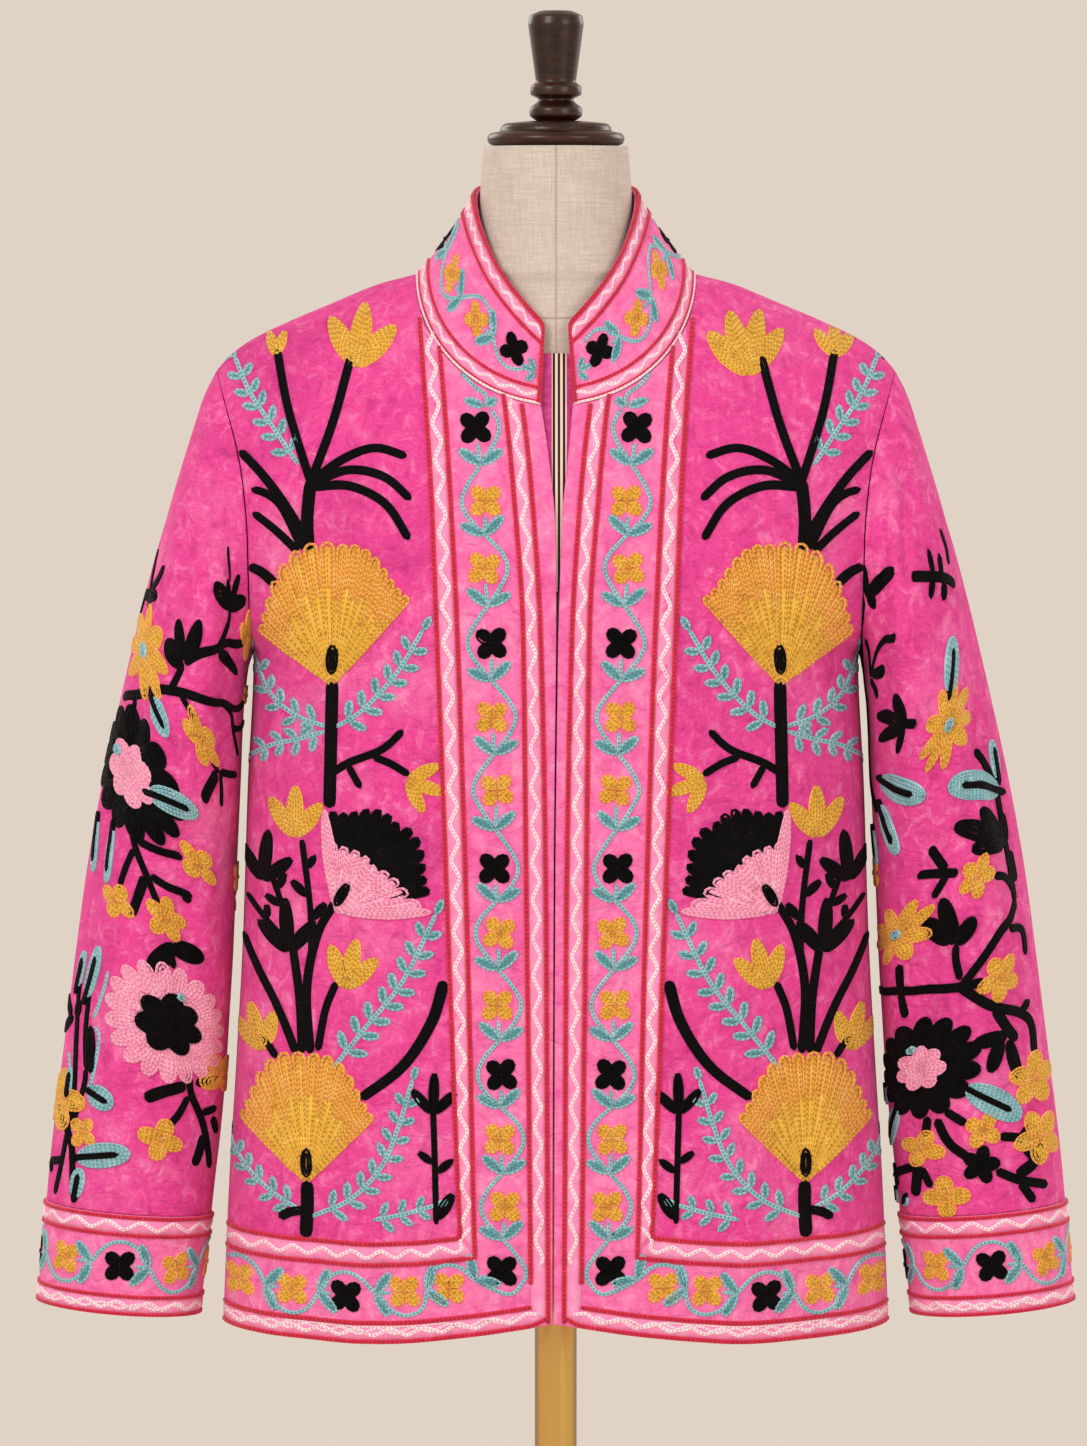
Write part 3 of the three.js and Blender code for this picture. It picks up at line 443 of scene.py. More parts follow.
def sleeve_grid(side):
    """A sleeve's outer points, ring by ring down to the cuff."""
    outward = -1 if side == "right" else 1
    points, across = armhole_ring(side)
    seam = points + across * (SEAM_GAP + 0.1)
    outer, inner = (np.array([SLEEVE[f"{line}_{axis}"][0] for axis in "xz"]) for line in ("outer", "inner"))
    axis = outer - inner
    from_middle = points[:, [0, 2]] * [outward, 1] - (outer + inner) / 2
    reach = 2 * (from_middle @ axis) / np.sum(axis ** 2)
    seam_turn = np.arctan2(-points[:, 1] / SLEEVE["depth"][0], reach)
    offset = seam - sleeve_section(0.0, seam_turn, outward)
    order = np.argsort(np.mod(seam_turn, 2 * math.pi))
    turn = np.linspace(0, 2 * math.pi, SLEEVE_COLUMNS, endpoint=False)
    offsets = joined(*(
        np.interp(turn, np.mod(seam_turn, 2 * math.pi)[order], offset[order, i], period=2 * math.pi)
        for i in range(3)))
    along = np.linspace(0, 1, SLEEVE_ROWS)[:, None]
    turn = turn[None, :]
    keep = np.clip(1 - along / 0.35, 0, 1) ** 2
    fade = np.clip(along / 0.15, 0, 1) * np.clip((1 - along) / 0.1, 0, 1)
    grid = sleeve_section(along, turn, outward) + offsets[None] * keep[..., None]
    inward = unit(sleeve_section(along, turn + math.pi, outward) - sleeve_section(along, turn, outward))
    dent = np.zeros(np.broadcast(along, turn).shape)
    for at, around, lean, length, width, depth in SLEEVE_FOLDS + SLEEVE_CREASES:
        step = along - at
        apart = np.mod(np.degrees(turn) - (around + lean * step) + 180, 360) - 180
        dent = dent + depth * np.exp(-((step / length) ** 2) - (apart / width) ** 2)
    grid = grid + inward * ((dent - CREASE_LIFT) * fade)[..., None]
    return grid[:, ::-1] if side == "right" else grid


def cuff_grid(sleeve):
    """The cuff carries on from the sleeve's last ring."""
    last = sleeve[-1]
    middle = last.mean(axis=0)
    along = unit(middle - sleeve[-9].mean(axis=0))
    share = np.linspace(0, 1, BAND_ROWS)[:, None, None]
    return middle + (last - middle)[None] * mix(1.012, 0.985, share) + along * (
        SEAM_GAP + 0.1 + CUFF_HEIGHT * share)


def collar_grid():
    """The collar from the neckline up, left front edge round the back to the right one."""
    corner_row = ROWS_BELOW + round(ROWS_ABOVE * NECK_CORNER)
    top = len(panel_rows) - 1
    front_rows = np.arange(corner_row, top)
    back_columns = np.arange(shoulder_columns + 1, BACK_COLUMNS - shoulder_columns)

    def line(front, rear, front_down, front_in, rear_down):
        left = front["left"][front_rows - front_down, edge_column["left"] + front_in]
        right = front["right"][front_rows - front_down, edge_column["right"] - front_in][::-1]
        ends = []
        for side, column, step in (("left", shoulder_columns, 1), ("right", -shoulder_columns - 1, -1)):
            on_front = front[side][top - front_down, edge_column[side] + step * front_in]
            ends.append((on_front + rear[top - rear_down, column]) / 2)
        return np.concatenate([left, ends[:1], rear[top - rear_down, back_columns], ends[1:], right])

    points = line(fronts, back, 0, 0, 0)
    normals = unit(line(front_normals, back_normals, 0, 0, 0))
    across = seam_frames(points, normals, line(fronts, back, 1, 1, 1), False)
    low = points + across * (SEAM_GAP + 0.1)
    at_front = points[:, 1] < 0
    low_turn = np.degrees(np.arcsin(np.clip(np.abs(points[:, 0]) / NECK_POINT[0], 0, 1)))
    turn = np.where(at_front, mix(8, 90, (low_turn - 6) / 84), 180 - low_turn)
    depth = np.where(at_front, -COLLAR_TOP_FRONT, COLLAR_TOP_BACK)
    top_line = joined(
        np.sign(points[:, 0]) * COLLAR_TOP_HALF * np.sin(np.radians(turn)),
        mix(COLLAR_MIDDLE_Y, depth, np.abs(np.cos(np.radians(turn)))),
        collar_top_height(turn),
    )
    share = np.linspace(0, 1, BAND_ROWS)[:, None, None]
    grid = mix(low[None], top_line[None], share)
    grid[..., 2] -= COLLAR_DIP * np.sin(math.pi * share[..., 0])
    return grid


def new_object(name, points, faces, materials, face_material=None, uv=None):
    """A mesh object in metres from points in millimetres over the hem."""
    mesh = bpy.data.meshes.new(name)
    points = np.asarray(points, float) * MM
    points[:, 2] += HEM_HEIGHT * MM
    quads = np.concatenate(faces).astype(np.int32)
    mesh.vertices.add(len(points))
    mesh.vertices.foreach_set("co", points.ravel())
    mesh.loops.add(quads.size)
    mesh.loops.foreach_set("vertex_index", quads.ravel())
    mesh.polygons.add(len(quads))
    mesh.polygons.foreach_set("loop_start", np.arange(len(quads), dtype=np.int32) * quads.shape[1])
    if face_material is not None:
        mesh.polygons.foreach_set("material_index", np.asarray(face_material, dtype=np.int32))
    if uv is not None:
        layer = mesh.uv_layers.new(name="thread")
        layer.data.foreach_set("uv", np.asarray(uv, float)[quads.ravel()].ravel())
    mesh.update(calc_edges=True)
    mesh.polygons.foreach_set("use_smooth", np.ones(len(quads), dtype=bool))
    for material in materials:
        mesh.materials.append(material)
    made = bpy.data.objects.new(name, mesh)
    bpy.context.scene.collection.objects.link(made)
    return made


def grid_faces(rows, columns, around=False, start=0):
    """Faces between the rows of a grid of points, counted row by row."""
    last = columns if around else columns - 1
    i, j = np.meshgrid(np.arange(rows - 1), np.arange(last), indexing="ij")
    k = (j + 1) % columns
    corner = start + i * columns
    return joined(corner + j, corner + k, corner + columns + k, corner + columns + j).reshape(-1, 4)


def wall(name, grid, normals, material, around=False, thickness=WALL):
    """A closed cloth wall from its outer points and normals."""
    rows, columns = grid.shape[:2]
    count = rows * columns
    points = np.concatenate([grid.reshape(-1, 3), (grid - normals * thickness).reshape(-1, 3)])
    outside = grid_faces(rows, columns, around)
    inside = grid_faces(rows, columns, around, count)[:, ::-1]
    index = np.arange(count).reshape(rows, columns)

    def rim(edge, flip):
        edge = np.append(edge, edge[:1]) if around else edge
        strip = joined(edge[:-1], edge[:-1] + count, edge[1:] + count, edge[1:])
        return strip[:, ::-1] if flip else strip

    faces = [outside, inside, rim(index[0], False), rim(index[-1], True)]
    if not around:
        faces += [rim(index[:, 0], True), rim(index[:, -1], False)]
    made = new_object(name, points, faces, [material])
    ease_edges(made, 0.6, 2, 50)
    return made


def ease_edges(made, width, segments, angle):
    """Rounds the edges that turn by more than an angle."""
    bevel = made.modifiers.new("Eased edges", "BEVEL")
    bevel.width = width * MM
    bevel.segments = segments
    bevel.limit_method = "ANGLE"
    bevel.angle_limit = math.radians(angle)


def sweep(points, per_span=8):
    """A smooth line through given points."""
    points = np.asarray(points, float)
    if len(points) < 3:
        return points
    ends = np.concatenate([2 * points[:1] - points[1:2], points, 2 * points[-1:] - points[-2:-1]])
    t = np.linspace(0, 1, per_span, endpoint=False)[:, None]
    spans = []
    for a, b, c, d in zip(ends[:-3], ends[1:-2], ends[2:-1], ends[3:]):
        spans.append(0.5 * (2 * b + (c - a) * t + (2 * a - 5 * b + 4 * c - d) * t ** 2
                            + (3 * b - a - 3 * c + d) * t ** 3))
    return np.concatenate(spans + [points[-1:]])


def distances(points):
    """How far along a line each of its points lies."""
    return np.concatenate([[0], np.cumsum(np.linalg.norm(np.diff(points, axis=0), axis=-1))])


def evenly(points, step):
    """The line as points about a step apart."""
    points = np.asarray(points, float)
    places = distances(points)
    count = max(2, int(round(places[-1] / step)) + 1)
    at = np.linspace(0, places[-1], count)
    return joined(*(np.interp(at, places, points[:, i]) for i in (0, 1)))


def rightward(line):
    """A unit step to the right of a line, at each of its points."""
    tangent = unit(np.gradient(line, axis=0))
    return joined(tangent[:, 1], -tangent[:, 0])


def beside(line, offset):
    """The line moved sideways by an offset, to its right when positive."""
    return line + rightward(line) * np.reshape(offset, (-1, 1))


# A row's section: share of its half width and whether it stands up, and its place across the thread
ROW_SECTION = np.array([(-1, 0.0), (-0.72, 1.0), (0.72, 1.0), (1, 0.0)])
ROW_ACROSS = np.array([0.0, 0.2, 0.8, 1.0])
ROW_STEP = 2.8
PAD_STEP = 3.6
SUNK = -0.5
GROUND_LINKS = 0.3


def bar_faces(count):
    """Faces of a closed bar with four points at each of its stations."""
    step = np.arange(count - 1)[:, None, None] * 4
    ring = np.array([[0, 1, 5, 4], [1, 2, 6, 5], [2, 3, 7, 6], [3, 0, 4, 7]])
    last = (count - 1) * 4
    caps = np.array([[3, 2, 1, 0], [last, last + 1, last + 2, last + 3]])
    return np.concatenate([(step + ring[None]).reshape(-1, 4), caps])


class Needlework:
    """Chain stitch rows gathered for one panel, each a closed low bar."""

    def __init__(self, place):
        self.place = place
        self.points, self.lifts, self.uvs, self.faces, self.threads = [], [], [], [], []
        self.count = 0

    def _add(self, flat, lift, uv, faces, thread):
        self.points.append(flat.reshape(-1, 2))
        self.lifts.append(lift.ravel())
        self.uvs.append(uv.reshape(-1, 2))
        self.faces.append(faces + self.count)
        self.threads.append(np.full(len(faces), THREADS.index(thread)))
        self.count += lift.size

    def row(self, line, thread, width=2.0, height=0.9, link=3.2, base=0.0, ends=0.55):
        line = evenly(line, ROW_STEP)
        half = np.full(len(line), width / 2)
        half[[0, -1]] *= ends
        flat = line[:, None] + rightward(line)[:, None] * (ROW_SECTION[None, :, :1] * half[:, None, None])
        lift = np.tile(np.where(ROW_SECTION[:, 1] > 0, base + height, SUNK), (len(line), 1))
        uv = joined(distances(line)[:, None] / link, ROW_ACROSS[None])
        self._add(flat, lift, uv, bar_faces(len(line)), thread)

    def pad(self, outline, thread, height=0.35):
        """A low closed ground under packed rows."""
        outline = evenly(np.concatenate([outline, outline[:1]]), PAD_STEP)[:-1]
        if len(outline) % 2:
            outline = outline[:-1]
        count = len(outline)
        middle = outline.mean(axis=0)
        flat = np.concatenate([outline, mix(outline, middle, 0.12), middle[None], outline, middle[None]])
        lift = np.repeat([0, height, height * 1.3, SUNK], [count, count, 1, count + 1])
        i = np.arange(count)
        j = (i + 1) % count
        low = 2 * count + 1
        even, odd, next_even = i[::2], j[::2], (i[::2] + 2) % count
        faces = np.concatenate([
            joined(i, j, j + count, i + count),
            joined(i + low, j + low, j, i),
            joined(even + count, odd + count, next_even + count, 2 * count),
            joined(even + low, low + count, next_even + low, odd + low),
        ])
        spoke, after = outline - middle, np.roll(outline, -1, axis=0) - middle
        turned_left = np.sum(spoke[:, 0] * after[:, 1] - spoke[:, 1] * after[:, 0]) > 0
        self._add(flat, lift, flat * GROUND_LINKS, faces if turned_left else faces[:, ::-1], thread)

    def slab(self, grid, thread, height=0.4, pattern=None):
        """A closed low ground over a grid of flat points, for shapes too wide for one pad."""
        rows, columns = grid.shape[:2]
        count = rows * columns
        lift = np.append(np.pad(np.full((rows - 2, columns - 2), height), 1), np.full(count, SUNK))
        uv = grid * GROUND_LINKS if pattern is None else pattern
        top = grid_faces(rows, columns)
        index = np.arange(count).reshape(rows, columns)
        rims = [joined(edge[:-1], edge[1:], edge[1:] + count, edge[:-1] + count)
                for edge in (index[0][::-1], index[-1], index[:, 0], index[:, -1][::-1])]
        faces = np.concatenate([top, (top + count)[:, ::-1]] + rims)
        a, b = grid[0, 1] - grid[0, 0], grid[1, 0] - grid[0, 0]
        if np.hypot(*a) < 1e-6:
            a = grid[1, 1] - grid[1, 0]
        if a[0] * b[1] - a[1] * b[0] <= 0:
            faces = faces[:, ::-1]
        self._add(np.stack([grid, grid]), lift, np.stack([uv, uv]), faces, thread)

    def band(self, left, right, height=0.28):
        """A closed pale ribbon between two lines of equal count."""
        flat = np.stack([left, left, right, right], axis=1)
        lift = np.tile([SUNK, height, height, SUNK], (len(left), 1))
        faces = bar_faces(len(left))
        middle = len(left) // 2
        tangent = left[middle] - left[middle - 1]
        across = right[middle] - left[middle]
        if tangent[1] * across[0] - tangent[0] * across[1] < 0:
            faces = faces[:, ::-1]
        self._add(flat, lift, flat * GROUND_LINKS, faces, "pale_band")

    def finish(self, name):
        """One mesh of all that was added; its first bar shows which way its faces look."""
        flat = np.concatenate(self.points)
        points = self.place(flat[:, 0], flat[:, 1], np.concatenate(self.lifts))
        faces = np.concatenate(self.faces)
        top, under = self.faces[0][1], self.faces[0][3]
        lifted = points[top].mean(axis=0) - points[under].mean(axis=0)
        outward = np.cross(points[top[2]] - points[top[0]], points[top[3]] - points[top[1]])
        if np.dot(lifted, outward) < 0:
            faces = faces[:, ::-1]
        used = sorted({int(kind[0]) for kind in self.threads})
        slots = np.searchsorted(used, np.concatenate(self.threads))
        threads = [thread_material(THREADS[i]) for i in used]
        return new_object(name, points, [faces], threads, slots, np.concatenate(self.uvs))


class Moved:
    """Passes rows on to a piece of needlework through a change of place."""

    def __init__(self, work, change):
        self.work, self.change = work, change

    def row(self, line, *rest, **more):
        self.work.row(self.change(np.asarray(line, float)), *rest, **more)

    def pad(self, outline, *rest):
        self.work.pad(self.change(outline), *rest)

    def slab(self, grid, *rest):
        self.work.slab(self.change(grid), *rest)

    def band(self, left, right):
        self.work.band(self.change(left), self.change(right))


def mirrored(work, side, shift=(0, 0)):
    """Needlework laid out for the wearer's right, turned over for the left and moved a little."""
    return Moved(work, lambda line: (line + np.array(shift, float)) * [side, 1])


def widened(work, at, x, z, reach=9.0):
    """Needlework drawn wider about a place on a surface that turns away."""
    left, right = (np.array(at(x + step, z)) for step in (-reach, reach))
    middle = np.array(at(x, z))
    wide = [float(np.clip(np.abs(right - left)[0] / (2 * reach), 1.0, 1.55)), 1.0]
    return Moved(work, lambda line: middle + (line - middle) * wide)


# Motifs, drawn flat: x across, z up, in millimetres
def direction(degrees):
    """A unit step, 0 to the right and 90 upwards."""
    return np.array([math.cos(math.radians(degrees)), math.sin(math.radians(degrees))])


def heading(step):
    """The angle of a step, in degrees."""
    return math.degrees(math.atan2(step[1], step[0]))


def petal_line(base, tip, width, inset=0.0, point=0.0):
    """A closed petal outline; point 0 is an oval, 1 is a leaf with sharp ends."""
    base, tip = np.asarray(base, float), np.asarray(tip, float)
    length = np.linalg.norm(tip - base)
    axis = (tip - base) / length
    side = np.array([axis[1], -axis[0]])
    turn = np.linspace(0, 2 * math.pi, 25)
    along = -np.cos(turn)
    across = np.sin(turn) * (1 - point * 0.45 * along ** 2) * (1 - 0.22 * point * np.abs(along))
    along, across = along * max(length / 2 - inset, 0.1), across * (width / 2 - inset)
    return (base + tip) / 2 + axis * along[:, None] + side * across[:, None]


def petal(work, base, tip, width, thread, row=2.0, height=0.9, point=0.0, core=None, lift=0.0):
    """A filled petal: rows laid inside each other over a ground of its own thread."""
    base, tip = np.asarray(base, float), np.asarray(tip, float)
    work.pad(petal_line(base, tip, width, row * 0.35, point), core or thread, 0.35 + lift)
    inset = row / 2
    while width / 2 - inset > row * 0.3:
        work.row(petal_line(base, tip, width, inset, point), thread, row, height, base=lift)
        inset += row
        if core:
            thread = core
    reach = 0.5 - 0.5 * width / max(np.linalg.norm(tip - base), width * 1.2)
    if width / 2 - inset > -row * 0.35 and reach > 0.05:
        middle_row = [mix(base, tip, 0.5 - reach), mix(base, tip, 0.5 + reach)]
        work.row(middle_row, thread, row * 0.9, height * 1.05, base=lift)


def teal_leaf(work, root, tip, width, row=1.8, height=0.95, point=0.2):
    petal(work, root, tip, width, "teal", row, height, point, core="deep_teal")


def flower(work, centre, size, thread, petals=4, turn=45.0, heart=None, row=1.9, lift=0.0, full=2.0):
    """Round petals about a small ring, as in the borders."""
    centre = np.asarray(centre, float)
    wide = size * (0.42 if petals <= 4 else full / petals)
    rim = "apricot" if thread == "mustard" else thread
    for i in range(petals):
        away = direction(turn + 360 * i / petals + 3 * math.sin(2.1 * i + turn)) * size
        petal(work, centre + away * 0.01, centre + away * 0.53, wide, rim, row, core=thread, lift=lift)
    if heart:
        up = np.array([0, size * 0.09])
        petal(work, centre - up, centre + up, size * 0.17, heart, 1.7, 1.6, lift=lift + 0.6)
    else:
        work.row(petal_line(centre - [0, 2.2], centre + [0, 2.2], 4.2, 0.8), rim, 1.7, 1.5 + lift)


def rope(work, points, width, row=2.3, taper=1.0, height=1.0):
    """A black stem of chain rows side by side through given points, with round ends."""
    line = evenly(sweep(points), 1.0)
    rows = max(1, int(round(width / row)))
    step = width / rows
    at = np.arange(len(line))
    from_end = np.clip(np.minimum(at, at[::-1]) / (0.5 * width), 0, 1)
    narrow = mix(1.0, taper, at / at[-1]) * np.sqrt(1 - (1 - from_end) ** 2)
    for i in range(rows):
        offset = (i - (rows - 1) / 2) * step
        work.row(beside(line, offset * narrow), "black", step * 1.3, height)


def sprig(work, points, pairs, leaf):
    """A teal stem with leaves set off it in pairs, and one at its tip."""
    first, last, spread = 0.12, 0.96, 50
    line = evenly(sweep(points), 1.5)
    work.row(line, "teal", 3.4, 0.9, 2.6)
    tangent = unit(np.gradient(line, axis=0))
    for i in range(pairs):
        at = int((first + (last - first) * i / pairs) * (len(line) - 1))
        size = 1.35 * leaf * (1 - 0.16 * i / pairs)
        for side in (-1, 1):
            away = direction(heading(tangent[at]) + side * spread + 5 * math.sin(5 * i + side))
            teal_leaf(work, line[at] + away * 0.8, line[at] + away * size, leaf * 0.56, 1.9, 0.95, 0.3)
    teal_leaf(work, line[-1] - tangent[-1], line[-1] + tangent[-1] * leaf, leaf * 0.54, 1.9, 0.95, 0.3)


def fan_edge(base, left, right, top):
    """The fan's outer edge from the left tip over the top to the right tip, by share."""
    spokes = [np.subtract(tip, base) for tip in (left, top, right)]
    angles = [math.atan2(z, x) for x, z in spokes]
    radius_at = through([0, 0.5, 1], [np.linalg.norm(spoke) for spoke in spokes])
    shoulder = 0.035

    def at(share):
        share = np.asarray(share, float)
        angle = np.interp(share, [0, 0.5, 1], angles)
        radius = radius_at(share) * (1 + shoulder * np.sin(4 * math.pi * np.abs(share - 0.5)))
        return base + joined(np.cos(angle), np.sin(angle)) * radius[..., None]

    return at


def fan(work, base, left, right, top, scallops, thread="mustard", tip_thread="apricot", row=1.9,
        start=0.0, seed=None, seed_at=0.3, lift=0.0, reach=1.0, split=0.62):
    """A fan of long scallops that open out from its base, each a loop of chain with rows inside."""
    base = np.asarray(base, float)
    edge = fan_edge(base, left, right, top)

    def up(share, scale):
        return base + (edge(share) - base) * scale

    share = np.linspace(0, 1, 3 * scallops + 1)
    scale = np.linspace(max(start, 0.02), 0.975 * reach, 10)[:, None]
    notched = np.where(np.arange(len(share)) % 3 == 0, 0.955, 1.0) ** np.linspace(0, 1, 10)[:, None]
    radius = np.linalg.norm(edge(0.5) - base)
    pattern = joined(scale * radius / 3.2, share[None] * scallops * 2)
    work.slab(up(share, (scale * notched)[..., None]), thread, 0.45 + lift, pattern)
    tip_width = np.linalg.norm(edge(1 / scallops) - edge(0.0)) * reach
    inset = row / 2 / tip_width / scallops
    long_start, short_start = start + (1 - start) * np.array([0.16, 0.36])
    for i in range(scallops):
        low, high = i / scallops, (i + 1) / scallops
        centre = (low + high) / 2
        is_long = i % 4 == 0 or i == scallops - 1
        begin = max(long_start if is_long else short_start + 0.1 * (i % 2), 0.1)
        crown = reach - tip_width / 2 / np.linalg.norm(edge(centre) - base)
        stations = np.linspace(begin, crown, 8)
        left_side = [up(low + inset, s) for s in stations]
        right_side = [up(high - inset, s) for s in stations[::-1]]
        middle = up(centre, crown)
        from_left = left_side[-1] - middle
        over = unit(edge(centre) - base) * np.linalg.norm(from_left)
        cap = [middle + from_left * math.cos(t) + over * math.sin(t)
               for t in np.linspace(0.3, math.pi - 0.3, 7)]
        tinted = (split + 0.05 * math.sin(i * 2.3)) * reach
        cut = next((k for k, s in enumerate(stations) if s > tinted), 7)
        for side in (left_side, right_side[::-1]):
            work.row(side[: cut + 1], thread, row, 0.95, base=lift)
        work.row(left_side[cut:] + cap + right_side[: 8 - cut], tip_thread, row, 1.0, base=lift)
        if tip_width > 3.2 * row:
            work.row([up(centre, mix(begin, crown, 0.45)), middle], tip_thread, row, 0.9, base=lift)
    if start == 0:
        for at in np.linspace(0.04, 0.96, max(6, scallops // 2)):
            work.row([up(at, s) for s in (0.03, 0.2)], thread, row, 0.9, base=lift)
    if seed:
        axis = (edge(0.5) - base) / radius
        middle = base + axis * radius * seed_at
        petal(work, middle - axis * seed / 2, middle + axis * seed / 2, seed * 0.4, "black", 1.9, 1.6,
              lift=lift)


def tulip(work, base, height, turn, spread, petals=3):
    """Pointed mustard petals that rise together from one base."""
    up, side = direction(turn) * height, direction(turn - 90) * height
    for i in range(petals):
        reach = height * (1.0 if 0 < i < petals - 1 else 0.88)
        tip = base - up * 0.06 + direction(turn + (i - (petals - 1) / 2) * spread) * reach
        petal(work, base - up * 0.06, tip, height * 0.34, "mustard", 1.9, point=0.4)
    petal(work, base - side * 0.2 + up * 0.14, base + side * 0.2 + up * 0.14, height * 0.3, "mustard",
          1.9, 1.1)


def daisy(work, centre, radius, petals, thread, heart_radius, heart, dot_at):
    """Many narrow looped petals about a heart of short round ones, with a teal dot."""
    outline = np.array([direction(turn) for turn in np.linspace(0, 360, 33)])
    rings = centre + outline[None] * np.linspace(0.03, 0.8, 6)[:, None, None] * radius
    work.slab(rings, thread, 0.9)
    width = 2 * math.pi * radius * 0.83 / petals
    for i in range(petals):
        away = direction(360 * i / petals + 7)
        petal(work, centre + away * heart_radius * 0.8, centre + away * radius, width * 1.02, thread,
              2.1, 1.0, -0.25, lift=0.5)
    flower(work, centre, heart_radius * 2, heart, 7, -12, row=2.0, lift=1.4, full=2.7)
    spot = centre + dot_at
    petal(work, spot - [0, 3.2], spot + [0, 3.2], 6.0, "teal", 1.8, 2.6, lift=1.5)


def leaf_stem(work, points, leaves, width, leaf):
    """A black stem with pointed leaves given by share along, side and size."""
    line = evenly(sweep(points), 1.5)
    rope(work, points, width)
    tangent = unit(np.gradient(line, axis=0))
    for share, side, size in leaves:
        at = int(share * (len(line) - 1))
        away = direction(heading(tangent[at]) + side)
        petal(work, line[at] + away * 0.5, line[at] + away * leaf * size, leaf * 0.42 * size ** 0.5,
              "black", 2.1, 1.0, 0.5)


def three_lobes(work, centre, size, turn):
    """A black bud of three lobes."""
    root = centre - direction(turn) * size * 0.06
    for angle, reach in ((-46, 0.78), (0, 1.0), (46, 0.78)):
        tip = centre + direction(turn + angle) * size * reach
        petal(work, root, tip, size * 0.28, "black", 2.1, 1.1, 0.15)


def wave(work, line, swing, length, width=2.5, phase=0.0):
    """A white chain that wanders from side to side between two cords."""
    line = evenly(line, 1.2)
    at = np.arange(len(line)) * 1.2
    offset = swing * (np.abs(np.mod(at / length + phase, 1) * 2 - 1) * 2 - 1)
    offset = np.convolve(np.pad(offset, 1, mode="edge"), [0.25, 0.5, 0.25], mode="valid")
    work.row(beside(line, offset), "white", width, 0.8, 2.6, base=0.15)


def cord(work, line, width=3.2):
    work.row(line, "crimson", width, 1.35, 2.8, ends=0.9)


def vine(work, flowers, swing=13.0, start_side=1, leaf=17.5):
    """A teal stem that passes each flower turn about, with two leaves and a stalk at each crossing."""
    centres = np.array([spot[:2] for spot in flowers], float)
    tangent, side = unit(np.gradient(centres, axis=0)), rightward(centres)
    points = []
    for i, centre in enumerate(centres):
        sign = start_side * (1 if i % 2 else -1)
        reach = swing * flowers[i][2] / 19
        for bend in (-0.72, 0, 0.72):
            points.append(centre + side[i] * sign * reach * math.cos(bend)
                          + tangent[i] * reach * math.sin(bend))
        if i + 1 < len(centres):
            middle = (centre + centres[i + 1]) / 2
            points.append(middle)
            for angle in (124, -124):
                away = direction(heading(tangent[i]) + angle + 8 * sign)
                teal_leaf(work, middle - away * 0.6, middle + away * leaf, leaf * 0.42)
            work.row([centre + unit(middle - centre) * flowers[i][2] * 0.42, middle], "teal", 2.8, 0.9, 2.6)
    work.row(sweep(points), "teal", 2.9, 0.95, 2.6)
    for x, z, size, thread, turn in flowers:
        flower(work, (x, z), size, thread, turn=turn)


# Finishes
class Flow:
    """A value in a finish, so that sums on values read as sums."""

    def __init__(self, shop, socket):
        self.shop, self.socket = shop, socket

    def _math(self, operation, *others):
        values = {i: value for i, value in enumerate(others)}
        return self.shop.node("ShaderNodeMath", {"operation": operation}, values).flow()

    def __add__(self, other):
        return self._math("ADD", self, other)

    def __sub__(self, other):
        return self._math("SUBTRACT", self, other)

    def __rsub__(self, other):
        return self._math("SUBTRACT", other, self)

    def __mul__(self, other):
        return self._math("MULTIPLY", self, other)

    def __truediv__(self, other):
        return self._math("DIVIDE", self, other)

    __radd__ = __add__
    __rmul__ = __mul__

    def size(self):
        return self._math("ABSOLUTE", self)

    def part(self):
        return self._math("FRACT", self)

    def wave(self):
        return self._math("SINE", self)

    def larger(self, other):
        return self._math("MAXIMUM", self, other)

    def smaller(self, other):
        return self._math("MINIMUM", self, other)

    def step(self, low, high):
        """0 below low, 1 above high, smooth between."""
        inputs = {"Value": self, "From Min": low, "From Max": high}
        return self.shop.node("ShaderNodeMapRange", {"interpolation_type": "SMOOTHSTEP"}, inputs).flow()


class Part:
    """A node of a finish."""

    def __init__(self, shop, node):
        self.shop, self.node = shop, node

    def flow(self, name=0):
        return Flow(self.shop, self.node.outputs[name])


